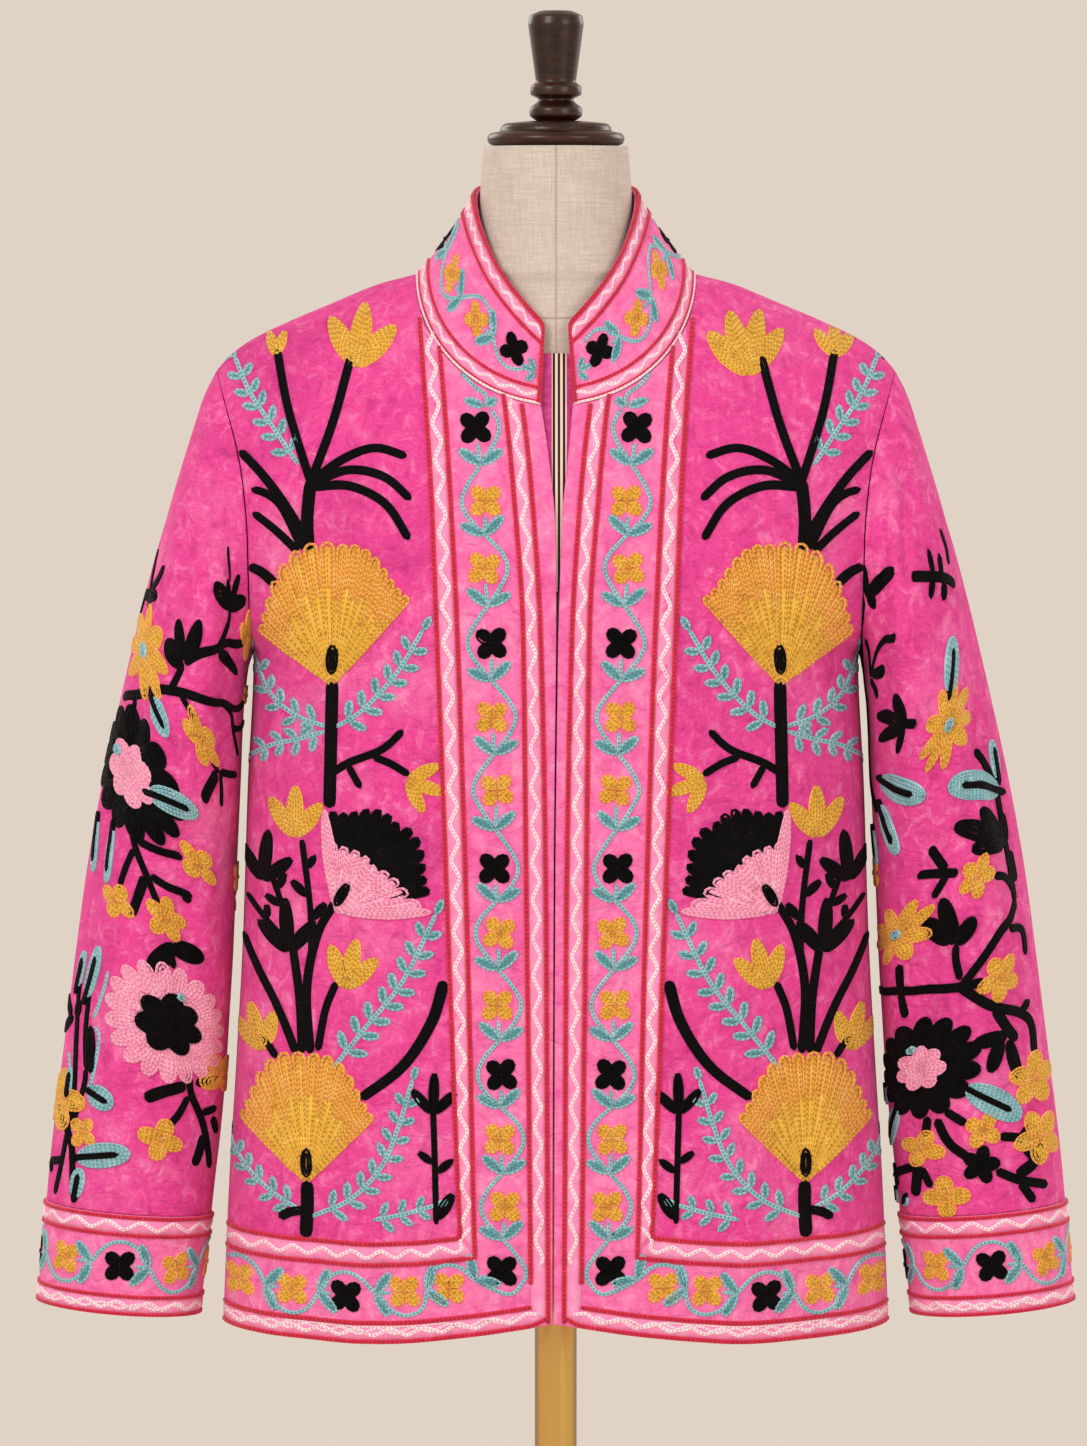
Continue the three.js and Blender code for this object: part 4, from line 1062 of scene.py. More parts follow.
class Shop:
    """Makes one finish: a Principled shader with its constants, then what varies over the surface."""

    def __init__(self, name, **constants):
        self.material = bpy.data.materials.new(name)
        self.material.use_nodes = True
        self.tree = self.material.node_tree
        self.shader = next(n for n in self.tree.nodes if n.type == "BSDF_PRINCIPLED")
        for key, value in constants.items():
            self.shader.inputs[key.replace("_", " ").title().replace("Ior", "IOR")].default_value = value

    def node(self, kind, settings=None, inputs=None):
        made = self.tree.nodes.new(kind)
        for key, value in (settings or {}).items():
            setattr(made, key, value)
        for key, value in (inputs or {}).items():
            if isinstance(value, Flow):
                self.tree.links.new(value.socket, made.inputs[key])
            else:
                made.inputs[key].default_value = value
        return Part(self, made)

    def place(self):
        """Object coordinates, in metres."""
        return self.node("ShaderNodeTexCoord").flow("Object")

    def axes(self):
        parts = self.node("ShaderNodeSeparateXYZ", None, {0: self.place()})
        return [parts.flow(i) for i in range(3)]

    def stretched(self, scale, turn=(0, 0, 0)):
        return self.node("ShaderNodeMapping", None,
                         {"Vector": self.place(), "Scale": scale, "Rotation": turn}).flow()

    def noise(self, scale, detail=3.0, rough=0.55, bend=0.0, at=None):
        inputs = {"Vector": at or self.place(), "Scale": scale, "Detail": detail, "Roughness": rough,
                  "Distortion": bend}
        return self.node("ShaderNodeTexNoise", None, inputs).flow("Fac")

    def blend(self, a, b, share):
        inputs = {0: share}
        for index, colour in ((6, a), (7, b)):
            inputs[index] = colour if isinstance(colour, Flow) else (*colour, 1)
        return self.node("ShaderNodeMix", {"data_type": "RGBA"}, inputs).flow(2)

    def bump(self, height, strength, distance, under=None):
        inputs = {"Height": height, "Strength": strength, "Distance": distance}
        if under is not None:
            inputs["Normal"] = under
        return self.node("ShaderNodeBump", None, inputs).flow()

    def finish(self, colour, roughness, normal=None):
        self.tree.links.new(colour.socket, self.shader.inputs["Base Color"])
        if isinstance(roughness, Flow):
            self.tree.links.new(roughness.socket, self.shader.inputs["Roughness"])
        else:
            self.shader.inputs["Roughness"].default_value = roughness
        if normal is not None:
            self.tree.links.new(normal.socket, self.shader.inputs["Normal"])
        return self.material


def paint(code):
    """A colour code as linear light."""
    values = [int(code[i:i + 2], 16) / 255 for i in (1, 3, 5)]
    return tuple(v / 12.92 if v <= 0.04045 else ((v + 0.055) / 1.055) ** 2.4 for v in values)


PINK = paint("#dd4294")
PALE_PINK = paint("#f48fc0")
DEEP_PINK = paint("#a8246f")
BORDER_PINK = paint("#ee78b2")
HEM_BORDER = (0.0655, 0.064)


def velvet(name, border=None):
    """Short-piled cotton velvet, washed and rubbed: cloudy light and dark, fine crumples."""
    shop = Shop(name, sheen_weight=0.22, sheen_roughness=0.4, specular_ior_level=0.2)
    shop.shader.inputs["Sheen Tint"].default_value = (*paint("#ff9ad2"), 1)
    cloud = shop.noise(13, 4, 0.6, 0.5)
    rubbed = shop.noise(1, 5, 0.66, 0.9, shop.stretched((95, 95, 70), (0.2, 0.5, 0.3)))
    scuffed = shop.noise(1, 4, 0.7, 1.2, shop.stretched((260, 260, 420), (0.5, 0.1, 0.2)))
    crumple = shop.noise(1, 4, 0.55, 1.6, shop.stretched((48, 60, 84), (0.4, 0.2, 0.7)))
    pile = shop.noise(1500, 2, 0.6)
    light = cloud.step(0.5, 0.74) * 0.35 + rubbed.step(0.5, 0.7) * 0.5 + scuffed.step(0.52, 0.7) * 0.28
    dark = cloud.step(0.48, 0.27) * 0.35 + rubbed.step(0.48, 0.3) * 0.45 + scuffed.step(0.47, 0.32) * 0.25
    base = shop.blend(PINK, PALE_PINK, light.smaller(0.8))
    base = shop.blend(base, DEEP_PINK, dark.smaller(0.75))
    if border is not None:
        field = shop.blend(BORDER_PINK, paint("#f7a3cb"), rubbed.step(0.45, 0.7) * 0.7)
        field = shop.blend(field, PINK, dark.smaller(0.7))
        base = shop.blend(base, field, border(shop) * 0.8)
    base = shop.blend(base, DEEP_PINK, pile.step(0.55, 0.3) * 0.16)
    normal = shop.bump(crumple, 0.8, 0.0042)
    normal = shop.bump(scuffed, 0.5, 0.0011, normal)
    normal = shop.bump(pile, 0.3, 0.00025, normal)
    return shop.finish(base, 0.82 + rubbed * 0.12, normal)


def front_border(shop):
    """Where the front's border lies: along the front edge and along the hem."""
    x, _, z = shop.axes()
    height = z - HEM_HEIGHT * MM
    from_edge = x.size() - (height * CORD_LEAN + CORD_FOOT * MM)
    return from_edge.step(0.0008, -0.0008).larger(height.step(*HEM_BORDER))


def hem_border(shop):
    return (shop.axes()[2] - HEM_HEIGHT * MM).step(*HEM_BORDER)


def whole_border(shop):
    """The border's colour all over, as on the collar and cuffs."""
    return 1


# Each thread: its body colour; a darker one, used for the painted shade in each link's eye and for darker
# uneven tone; and a lighter one for paler uneven tone
THREAD_COLOURS = {
    "mustard": ("#e5af36", "#9a660e", "#f4c95e"),
    "apricot": ("#eea545", "#a8621a", "#f8c272"),
    "black": ("#0a080b", "#030203", "#171418"),
    "teal": ("#8dc0cb", "#3b7f8d", "#b9dbe2"),
    "deep_teal": ("#5899a6", "#2b6e7b", "#83bac6"),
    "pale_pink": ("#f5a3c4", "#d0608f", "#fcc6db"),
    "white": ("#fce3ec", "#dc86ad", "#fff6f9"),
    "crimson": ("#cf1640", "#8d0a28", "#e8365c"),
    "pale_band": ("#f08abd", "#dd5a9f", "#f7b0d3"),
}
THREADS = list(THREAD_COLOURS)
thread_finishes = {}


def thread_material(name):
    """Chain stitch in cotton thread: two plies about an eye in each link, the eye darkened by painted shade.
    """
    if name in thread_finishes:
        return thread_finishes[name]
    body, dark, light = (paint(code) for code in THREAD_COLOURS[name])
    shine = 0.05 if name == "black" else 0.35
    shop = Shop(f"thread_{name}", sheen_weight=shine * 0.4, sheen_roughness=0.5, specular_ior_level=shine)
    at = shop.node("ShaderNodeUVMap", {"uv_map": "thread"}).flow()
    parts = shop.node("ShaderNodeSeparateXYZ", None, {0: at})
    u, v = parts.flow(0), parts.flow(1).part()
    along = (u.part() - 0.5) / 0.36
    across = (v - 0.5) / 0.2
    # Painted shade: the eye, the recess in the middle of each link, is darkened in colour below
    shaded_eye = (along * along + across * across).step(1.15, 0.55)
    ply = ((u * 5 + v * 3) * 6.283).wave()
    uneven = shop.noise(140, 3, 0.6)
    if name == "pale_band":
        shaded_eye = uneven * 0
    colour = shop.blend(body, light, uneven.step(0.45, 0.75) * 0.7 + ply * 0.1)
    # Painted shade in each link's eye, together with darker uneven tone
    colour = shop.blend(colour, dark, shaded_eye * 0.8 + uneven.step(0.45, 0.25) * 0.35)
    normal = shop.bump(ply * 0.12 - shaded_eye, 0.6, 0.0006)
    thread_finishes[name] = shop.finish(colour, 0.62 + uneven * 0.2, normal)
    return thread_finishes[name]


def striped_cloth():
    """Pink plain weave with a group of black and cream stripes and a fine brown one."""
    shop = Shop("striped_cloth", sheen_weight=0.2, specular_ior_level=0.3)
    x, _, z = shop.axes()
    weave = (x * 5200).wave() * (z * 5200).wave()
    in_group = (x - 0.002).size().step(0.0049, 0.0045)
    stripe = (x * 1960 + 1.2).wave().step(-0.15, 0.15)
    brown = (x + 0.0135).size().step(0.0018, 0.0012)
    fine = ((x + 0.0135) * 4200).wave().step(-0.2, 0.2)
    base = shop.blend(paint("#b5307c"), paint("#c74a92"), shop.noise(180, 4).step(0.4, 0.7))
    base = shop.blend(base, paint("#e8cdbd"), in_group * stripe)
    base = shop.blend(base, paint("#17090f"), in_group * (1 - stripe))
    base = shop.blend(base, paint("#a06a58"), brown * fine)
    return shop.finish(base, 0.85, shop.bump(weave, 0.4, 0.0003))


def linen():
    """Slubby natural linen with a seam down the middle and one round the neck."""
    shop = Shop("linen", sheen_weight=0.25, specular_ior_level=0.25)
    x, y, z = shop.axes()
    warp = ((x * 2900 + shop.noise(30) * 3).wave() + (y * 2900).wave()) * 0.5
    weft = (z * 2900 + shop.noise(34) * 3).wave()
    slub = shop.noise(1, 3, 0.6, 0.2, shop.stretched((900, 900, 60)))
    slub_across = shop.noise(1, 3, 0.6, 0.2, shop.stretched((60, 60, 900)))
    threads = (slub + slub_across) * 0.5
    base = shop.blend(paint("#b9ada4"), paint("#cbc1b9"), threads.step(0.38, 0.66))
    shade = (warp * weft).step(0.2, 1.0) * 0.3 + shop.noise(5).step(0.5, 0.8) * 0.1
    base = shop.blend(base, paint("#a3917f"), shade)
    seam = x.size().step(0.0011, 0.0003) + (z - NECK_SEAM * MM).size().step(0.001, 0.0003)
    base = shop.blend(base, paint("#8d7a68"), seam.smaller(1) * 0.5)
    normal = shop.bump(warp * weft + threads * 2, 0.35, 0.0003)
    normal = shop.bump(seam, -0.8, 0.0006, normal)
    return shop.finish(base, 0.9, normal)


def dark_wood():
    """Turned wood under lacquer, rubbed paler along its edges."""
    shop = Shop("dark_wood", coat_weight=0.16, coat_roughness=0.12, specular_ior_level=0.3)
    grain = shop.noise(1, 5, 0.65, 0.6, shop.stretched((60, 60, 420)))
    figure = shop.noise(1, 3, 0.5, 1.0, shop.stretched((25, 25, 8)))
    light = grain.step(0.4, 0.75) * 0.7 + figure.step(0.5, 0.8) * 0.3
    base = shop.blend(paint("#170602"), paint("#451a0b"), light)
    worn = shop.node("ShaderNodeNewGeometry").flow("Pointiness").step(0.51, 0.56)
    base = shop.blend(base, paint("#7a4630"), worn * 0.4)
    return shop.finish(base, 0.28 + grain * 0.2, shop.bump(grain, 0.12, 0.0004))


def brass():
    """Drawn and lacquered brass, a little tarnished, with painted dark reflections where it turns away from
    the view.
    """
    shop = Shop("brass", metallic=1.0, coat_weight=0.2, coat_roughness=0.1)
    drawn = shop.noise(1, 3, 0.6, 0.0, shop.stretched((900, 900, 6)))
    tarnish = shop.noise(9, 4, 0.6, 0.5)
    base = shop.blend(paint("#e2b566"), paint("#b9863c"), tarnish.step(0.45, 0.75) * 0.5)
    # Painted reflection: the colour goes dark brown where the surface turns away from the view, standing in
    # for dark reflections down the sides
    edge = shop.node("ShaderNodeLayerWeight", None, {"Blend": 0.5}).flow("Facing")
    base = shop.blend(base, paint("#5e3f18"), edge.step(0.25, 0.8) * 0.85)
    return shop.finish(base, 0.1 + drawn * 0.12 + tarnish * 0.08, shop.bump(drawn, 0.08, 0.0002))


def floor_paint():
    """A pale floor that fades into the backdrop."""
    shop = Shop("floor_paint", specular_ior_level=0.1)
    x, y, _ = shop.axes()
    soft = shop.noise(0.6, 3, 0.5)
    fade = (x * x + y * y).step(4.4, 0.5)
    shop.tree.links.new(fade.socket, shop.shader.inputs["Alpha"])
    return shop.finish(shop.blend(paint("#e2d6c8"), paint("#e6dbce"), soft), 0.95)


# Where things are stitched. Fronts are laid out for the wearer's right and mirrored for the left.
CORDS = {
    "z": [0, 31, 74, 168, 252, 338, 457, 543, 600, 660],
    "outer": [57, 58.5, 61, 65, 68, 71, 75.5, 79, 83, 88],
    "second": [49, 50, 52, 54, 56, 58.5, 62.5, 67, 71, 77],
    "third": [15.5, 16, 16.5, 17.5, 18.5, 19.5, 21, 27, 33, 46],
    "inner": [5, 5, 5.3, 5.8, 6.2, 7.2, 10, 15.5, 22, 35],
}
cord_at = {key: through(CORDS["z"], CORDS[key]) for key in CORDS if key != "z"}
HEM_CORDS = {"first": 64, "second": 50.5, "third": 13.5, "last": 1.6}
FRONT_CORD_END = 216.4
BACK_CORD_END = 216.0
USUAL_SLEEVE_ROUND = 356
CUFF_FLOWERS = ["mustard", "mustard", "black", "mustard", "black", "mustard", "mustard", "black"]

# Flowers of a front's border down the edge and on along the hem: x, z, turn
EDGE_FLOWERS = [
    (52, 583, 40), (42, 537, 45), (48, 495, 50), (40, 448, 42), (41, 401, 45), (35, 355, 38),
    (40, 305, 45), (34, 264, 52), (38, 218, 45), (33, 174, 40), (36, 133, 47), (30, 90, 45), (36, 49, 45),
]
HEM_FLOWERS = [
    (68, 35, 45), (96, 36, 40), (134, 29, 48), (169, 31, 45), (204, 33, 40),
]
# A front's tall plants, black strokes first: width, share of it at the tip, line
GARDEN_STEMS = [
    (7.6, 1.0, [(142, 422), (143, 381), (144, 342)]), (8.0, 1.0, [(159, 101), (159, 84), (160, 66)]),
    (5.8, 1.0, [(161, 83), (170, 81), (177, 77)]),
    (5.5, 0.8, [(157, 184), (159, 225), (152, 260), (140, 282)]),
    (5.2, 0.9, [(162, 184), (164, 221), (169, 255)]),
    (5.2, 0.75, [(166, 183), (177, 209), (191, 234), (202, 255)]),
    (4.5, 1.0, [(179, 179), (184, 186), (188, 191)]), (4.5, 1.0, [(140, 230), (147, 212), (152, 186)]),
    (7.1, 0.75, [(71, 233), (79, 207), (97, 179), (124, 157)]),
    (5.2, 1.0, [(179, 631), (171, 594), (156, 548)]), (5.2, 1.0, [(131, 627), (142, 586), (156, 548)]),
    (7.6, 1.0, [(156, 549), (158, 525), (157, 506)]),
    (5.5, 0.8, [(156, 548), (135, 563), (115, 570), (95, 565)]),
    (5.5, 0.8, [(155, 547), (132, 556), (109, 552), (92, 538)]),
    (5.5, 0.8, [(155, 545), (131, 546), (108, 535), (93, 513)]),
    (6.2, 0.8, [(157, 509), (173, 534), (187, 552), (202, 567)]),
    (5.2, 0.8, [(161, 506), (174, 531), (184, 540), (194, 543)]),
    (5.2, 0.8, [(164, 504), (177, 516), (193, 528)]), (6.5, 0.8, [(179, 483), (187, 490), (196, 494)]),
    (4.8, 0.85, [(142, 364), (131, 371), (110, 380), (97, 392)]),
    (4.5, 1.0, [(116, 375), (105, 371), (93, 364)]), (4.2, 1.0, [(132, 369), (124, 355)]),
]
# Stems with leaves: width, leaf, line, then each leaf's share, side and size
GARDEN_LEAF_STEMS = [
    (3.4, 14, [(156, 247), (157, 279), (162, 320)], [(0.3, 40, 1.2), (0.5, -42, 1.2), (0.75, 40, 0.9)]),
    (3.2, 13, [(170, 260), (178, 285), (187, 307)], [(0.35, -42, 1.1), (0.55, 44, 1.1)]),
    (3.2, 13, [(174, 256), (187, 268), (199, 281)], [(0.45, 44, 0.9)]),
    (3.4, 13, [(76, 79), (77, 119), (78, 154)], [(0.42, 52, 1.2), (0.5, -52, 1.1)]),
]
# Black buds of three lobes: place, size, turn
GARDEN_LOBES = [
    ((188, 293), 32, 97), ((171, 249), 34, 86), ((78, 150), 26, 92),
]
# Mustard buds: place, height, turn, spread, petals
GARDEN_BUDS = [
    ((167, 323), 34, 92, 36, 3), ((134, 228), 34, 104, 32, 3), ((189, 184), 32, 74, 34, 3),
    ((93, 360), 27, 198, 44, 3),
]
SHOULDER_BUDS = {
    "right": [((127, 623), 42, 97, 36, 3), ((180, 628), 21, 92, 36, 2)],
    "left": [((122, 618), 43, 92, 27, 4), ((180, 628), 26, 92, 36, 3)],
}
# Teal sprigs: pairs, leaf, line
GARDEN_SPRIGS = [
    (6, 10, [(164, 559), (179, 580), (196, 604), (207, 627)]),
    (6, 10.5, [(140, 393), (123, 404), (101, 428), (84, 456)]),
    (5, 10, [(146, 393), (166, 399), (184, 413), (196, 438)]),
    (4, 9.5, [(147, 390), (164, 384), (182, 379), (198, 370)]),
    (8, 11, [(142, 175), (122, 201), (97, 233), (76, 276)]),
    (8, 10, [(156, 79), (131, 92), (111, 114), (100, 140), (91, 170)]),
    (5, 9.5, [(164, 83), (183, 93), (201, 108), (214, 124)]), (3, 9.5, [(116, 80), (99, 84), (76, 91)]),
]
# Sleeves as seen from the front, x to the wearer's left and z over the hem:
# stems with width and line, leaves with root, tip and width, flowers with place, size, petals, turn
SLEEVE_DRAWINGS = {
    "right": {
        "stems": [
            (3.4, [(-257, 502), (-260, 486), (-262, 473)]),
            (4.4, [(-251, 493), (-255, 484), (-260, 475)]), (4.6, [(-261, 471), (-260, 458)]),
            (3.2, [(-264, 475), (-268, 459)]), (3.4, [(-210, 506), (-209, 494), (-208, 485)]),
            (4.6, [(-208, 468), (-210, 456), (-216, 442)]),
            (4.8, [(-238, 432), (-242, 423), (-247, 414)]),
            (4.8, [(-237, 433), (-226, 439), (-216, 442), (-201, 444)]),
            (4.8, [(-279, 407), (-271, 410), (-259, 414), (-246, 414), (-228, 410), (-214, 406),
                   (-201, 409)]),
            (3.8, [(-269, 410), (-271, 400), (-272, 392)]),
            (4.6, [(-240, 412), (-235, 403), (-230, 393)]),
            (4.6, [(-214, 406), (-209, 398), (-208, 386), (-206, 370)]),
            (5.0, [(-208, 389), (-199, 391)]), (4.4, [(-221, 370), (-217, 361)]),
            (7.4, [(-218, 361), (-222, 352), (-226, 344)]),
            (3.6, [(-216, 362), (-215, 350), (-215, 339)]), (5.2, [(-215, 361), (-207, 358)]),
            (5.0, [(-272, 332), (-270, 316), (-264, 296), (-255, 275)]),
            (4.8, [(-269, 317), (-255, 312), (-240, 306)]),
            (4.0, [(-270, 313), (-276, 300), (-280, 288)]),
            (6.4, [(-264, 294), (-268, 281), (-273, 269)]),
            (5.0, [(-260, 294), (-248, 288), (-235, 280)]), (7.0, [(-240, 283), (-234, 279)]),
            (5.4, [(-247, 244), (-246, 235)]),
            (5.2, [(-237, 166), (-236, 151), (-229, 135), (-226, 115), (-225, 102)]),
            (7.6, [(-240, 157), (-253, 155), (-265, 149)]), (6.0, [(-233, 158), (-220, 161)]),
            (4.8, [(-238, 149), (-243, 140), (-249, 132)]), (5.4, [(-229, 139), (-221, 140)]),
            (7.0, [(-228, 124), (-231, 113), (-234, 105)]), (6.4, [(-223, 134), (-221, 123)]),
            (3.8, [(-325, 84), (-319, 111), (-312, 149), (-310, 188), (-308, 221), (-304, 239)]),
            (4.4, [(-312, 84), (-313, 113), (-316, 126), (-322, 141)]),
            (3.8, [(-315, 129), (-305, 155), (-303, 169)]), (4.6, [(-328, 104), (-319, 108)]),
            (3.6, [(-303, 169), (-304, 191), (-301, 218)]),
        ],
        "leaves": [
            (-208, 467, -210, 486, 10), (-208, 467, -202, 488, 10), (-208, 468, -219, 481, 11),
            (-209, 468, -199, 471, 9), (-262, 472, -256, 473, 7), (-262, 471, -265, 475, 6),
            (-238, 433, -250, 443, 14), (-238, 433, -241, 461, 14), (-237, 433, -226, 458, 14),
            (-216, 438, -205, 425, 9), (-245, 250, -263, 234, 13), (-247, 249, -227, 240, 14),
            (-300, 164, -300, 196, 9), (-312, 200, -319, 188, 7), (-313, 200, -316, 212, 7),
            (-310, 200, -308, 212, 7), (-328, 106, -327, 97, 6),
        ],
        "cored": [
            (-257, 409, -248, 385, 15), (-260, 349, -230, 335, 16), (-295, 329, -299, 293, 9),
            (-285, 324, -289, 288, 9), (-303, 213, -293, 249, 12), (-309, 219, -304, 243, 8),
            (-301, 155, -285, 145, 15), (-310, 109, -274, 115, 16), (-311, 84, -307, 104, 11),
            (-316, 149, -313, 169, 7),
        ],
        "outlines": [
            [(-297, 196), (-295, 188), (-297, 172), (-300, 160), (-302, 154)],
            [(-288, 232), (-291, 221), (-296, 206), (-299, 200)], [(-312, 149), (-314, 162), (-315, 177)],
        ],
        "flowers": [
            (-263, 439, 43, 8, 20), (-226, 383, 29, 5, 62), (-230, 302, 26, 4, 58),
            (-282, 278, 22, 4, 75), (-251, 266, 28, 5, 90), (-199, 447, 26, 4, 45),
            (-201, 407, 24, 4, 45), (-255, 123, 29, 4, 80), (-218, 162, 32, 4, 40),
            (-322, 146, 36, 5, 80), (-305, 127, 20, 4, 60), (-202, 289, 26, 4, 50),
        ],
        "daisies": [
            ((-273, 360), 35, 14, "black", 17, "pale_pink", (-277, 372)),
            ((-248, 198), 40, 19, "pale_pink", 20, "black", (-244, 215)),
        ],
    },
    "left": {
        "stems": [
            (3.2, [(246, 517), (250, 505), (252, 494)]),
            (5.2, [(227, 487), (241, 487), (250, 485), (256, 481)]),
            (5.0, [(197, 473), (193, 461), (193, 447), (196, 422), (199, 397), (202, 379)]),
            (4.6, [(203, 422), (206, 440), (217, 449)]), (4.6, [(203, 423), (199, 446)]),
            (4.4, [(203, 420), (207, 409)]), (5.0, [(223, 393), (230, 393)]),
            (5.4, [(269, 374), (279, 358), (285, 343), (289, 319), (293, 292), (296, 276)]),
            (6.0, [(296, 277), (292, 265), (284, 255), (260, 223)]),
            (6.0, [(202, 379), (204, 361), (208, 334)]), (5.4, [(258, 296), (232, 295)]),
            (6.0, [(251, 298), (240, 312)]), (6.0, [(251, 295), (243, 280)]),
            (4.6, [(282, 294), (290, 291), (295, 283)]), (5.0, [(256, 251), (257, 240), (260, 228)]),
            (4.6, [(293, 258), (301, 257), (303, 242)]),
            (5.8, [(203, 215), (221, 218), (244, 221), (260, 223), (275, 227)]),
            (6.0, [(260, 222), (280, 211), (300, 204), (307, 196), (309, 178)]),
            (7.0, [(282, 209), (290, 196), (297, 188)]), (5.0, [(300, 204), (306, 211)]),
            (6.4, [(222, 235), (223, 221), (226, 201)]), (6.6, [(240, 137), (239, 124)]),
            (6.0, [(246, 136), (254, 120), (266, 112)]), (5.4, [(286, 125), (300, 123), (315, 117)]),
            (7.0, [(300, 123), (309, 131)]), (7.0, [(303, 118), (309, 108), (298, 100)]),
            (5.6, [(284, 102), (300, 96), (318, 92)]), (6.0, [(300, 95), (309, 82)]),
            (5.4, [(251, 141), (264, 133)]), (8.4, [(235, 105), (233, 84)]),
            (6.4, [(234, 105), (223, 98), (218, 91)]), (5.6, [(237, 103), (243, 91)]),
            (5.0, [(293, 308), (297, 289)]),
        ],
        "leaves": [
            (241, 487, 237, 505, 6), (247, 486, 245, 502, 6), (241, 487, 238, 473, 7),
            (249, 484, 247, 471, 8), (199, 473, 194, 496, 10), (199, 475, 216, 492, 9),
            (199, 473, 205, 470, 9), (204, 424, 211, 426, 8), (224, 393, 216, 411, 11),
            (223, 393, 207, 397, 9), (223, 392, 208, 382, 10), (223, 393, 219, 373, 10),
            (288, 313, 255, 327, 12), (289, 314, 272, 337, 12), (290, 314, 286, 335, 10),
            (288, 312, 266, 312, 11), (256, 251, 248, 279, 13), (255, 251, 236, 265, 13),
            (256, 251, 269, 269, 13), (291, 190, 267, 186, 10), (287, 189, 279, 166, 11),
            (291, 189, 299, 162, 10),
        ],
        "cored": [
            (251, 412, 253, 449, 18), (284, 349, 250, 354, 17), (210, 356, 237, 346, 16),
            (210, 338, 221, 308, 13), (284, 355, 279, 381, 10), (207, 321, 209, 297, 8),
            (264, 158, 300, 137, 18), (222, 141, 215, 113, 14), (209, 152, 207, 139, 9),
            (219, 85, 216, 75, 9), (228, 84, 227, 75, 9),
        ],
        "outlines": [],
        "flowers": [
            (250, 393, 42, 9, 12), (270, 295, 26, 5, 50), (220, 255, 42, 8, 15), (286, 229, 28, 5, 40),
            (275, 129, 25, 4, 50), (237, 115, 27, 4, 65), (252, 85, 29, 4, 90),
            (274, 106, 25, 5, 70, "black"), (212, 93, 21, 4, 60, "black"), (309, 162, 32, 5, 80),
            (313, 123, 32, 5, 40), (203, 291, 26, 4, 45),
        ],
        "daisies": [
            ((236, 169), 35, 14, "black", 15, "pale_pink", (231, 181)),
        ],
    },
}
# The sleeves' hidden sides, in millimetres round from the front line and down
BACK_OF_SLEEVE = {
    "stems": [
        (4.6, [(150, 90), (163, 150), (176, 205)]), (4.4, [(205, 95), (190, 150), (176, 205)]),
        (5.0, [(176, 205), (172, 250), (178, 288)]), (4.8, [(172, 240), (145, 262), (128, 285)]),
        (5.4, [(178, 360), (174, 410), (186, 470)]), (5.0, [(176, 405), (150, 430), (138, 462)]),
        (4.8, [(180, 432), (205, 452), (214, 480)]), (4.4, [(174, 60), (176, 130)]),
    ],
    "leaves": [
        (176, 62, 164, 28, 12), (176, 62, 188, 26, 12), (176, 66, 204, 48, 11), (150, 92, 138, 66, 11),
        (205, 97, 220, 74, 11), (128, 282, 112, 306, 10), (138, 460, 128, 488, 11),
        (214, 478, 226, 500, 10), (186, 468, 188, 500, 11),
    ],
    "cored": [
        (186, 236, 214, 254, 15), (166, 300, 136, 322, 15), (196, 400, 218, 384, 14),
    ],
    "outlines": [],
    "flowers": [
        (140, 150, 30, 5, 30), (214, 160, 38, 8, 10), (128, 385, 28, 4, 50), (222, 330, 28, 5, 70),
        (112, 235, 27, 4, 40), (160, 505, 27, 5, 20),
    ],
    "daisies": [
        ((178, 325), 34, 15, "black", 16, "pale_pink", (176, 309)),
    ],
}
# The plant down the middle of the back, x and z as on the fronts
BACK_MIDDLE = {
    "stems": [
        (6.0, [(4, 76), (-2, 150), (3, 226)]), (5.4, [(3, 300), (-3, 360), (2, 412)]),
        (5.0, [(2, 486), (-2, 530), (0, 566)]), (4.6, [(0, 130), (22, 152), (38, 180)]),
        (4.6, [(-1, 110), (-24, 132), (-38, 160)]), (4.6, [(0, 344), (24, 362), (36, 392)]),
        (4.6, [(-2, 330), (-24, 352), (-34, 384)]), (4.2, [(-1, 525), (-22, 545), (-32, 572)]),
        (4.2, [(-1, 515), (22, 538), (34, 566)]),
    ],
    "leaves": [
        (0, 566, 0, 600, 12), (0, 568, -20, 592, 10), (0, 568, 20, 592, 10), (-34, 384, -36, 406, 9),
        (38, 180, 46, 202, 10), (34, 566, 40, 590, 9),
    ],
    "cored": [
        (4, 96, 34, 92, 13), (-4, 190, -36, 206, 14), (3, 400, -30, 428, 14), (4, 380, 34, 352, 13),
    ],
    "outlines": [],
    "flowers": [
        (-44, 172, 28, 5, 20), (40, 404, 29, 5, 50), (-38, 586, 26, 4, 30), (46, 300, 26, 4, 45),
        (-46, 300, 26, 5, 10),
    ],
    "daisies": [
        ((0, 262), 38, 18, "pale_pink", 18, "black", (2, 281)),
        ((0, 450), 34, 14, "black", 15, "pale_pink", (-2, 466)),
    ],
}

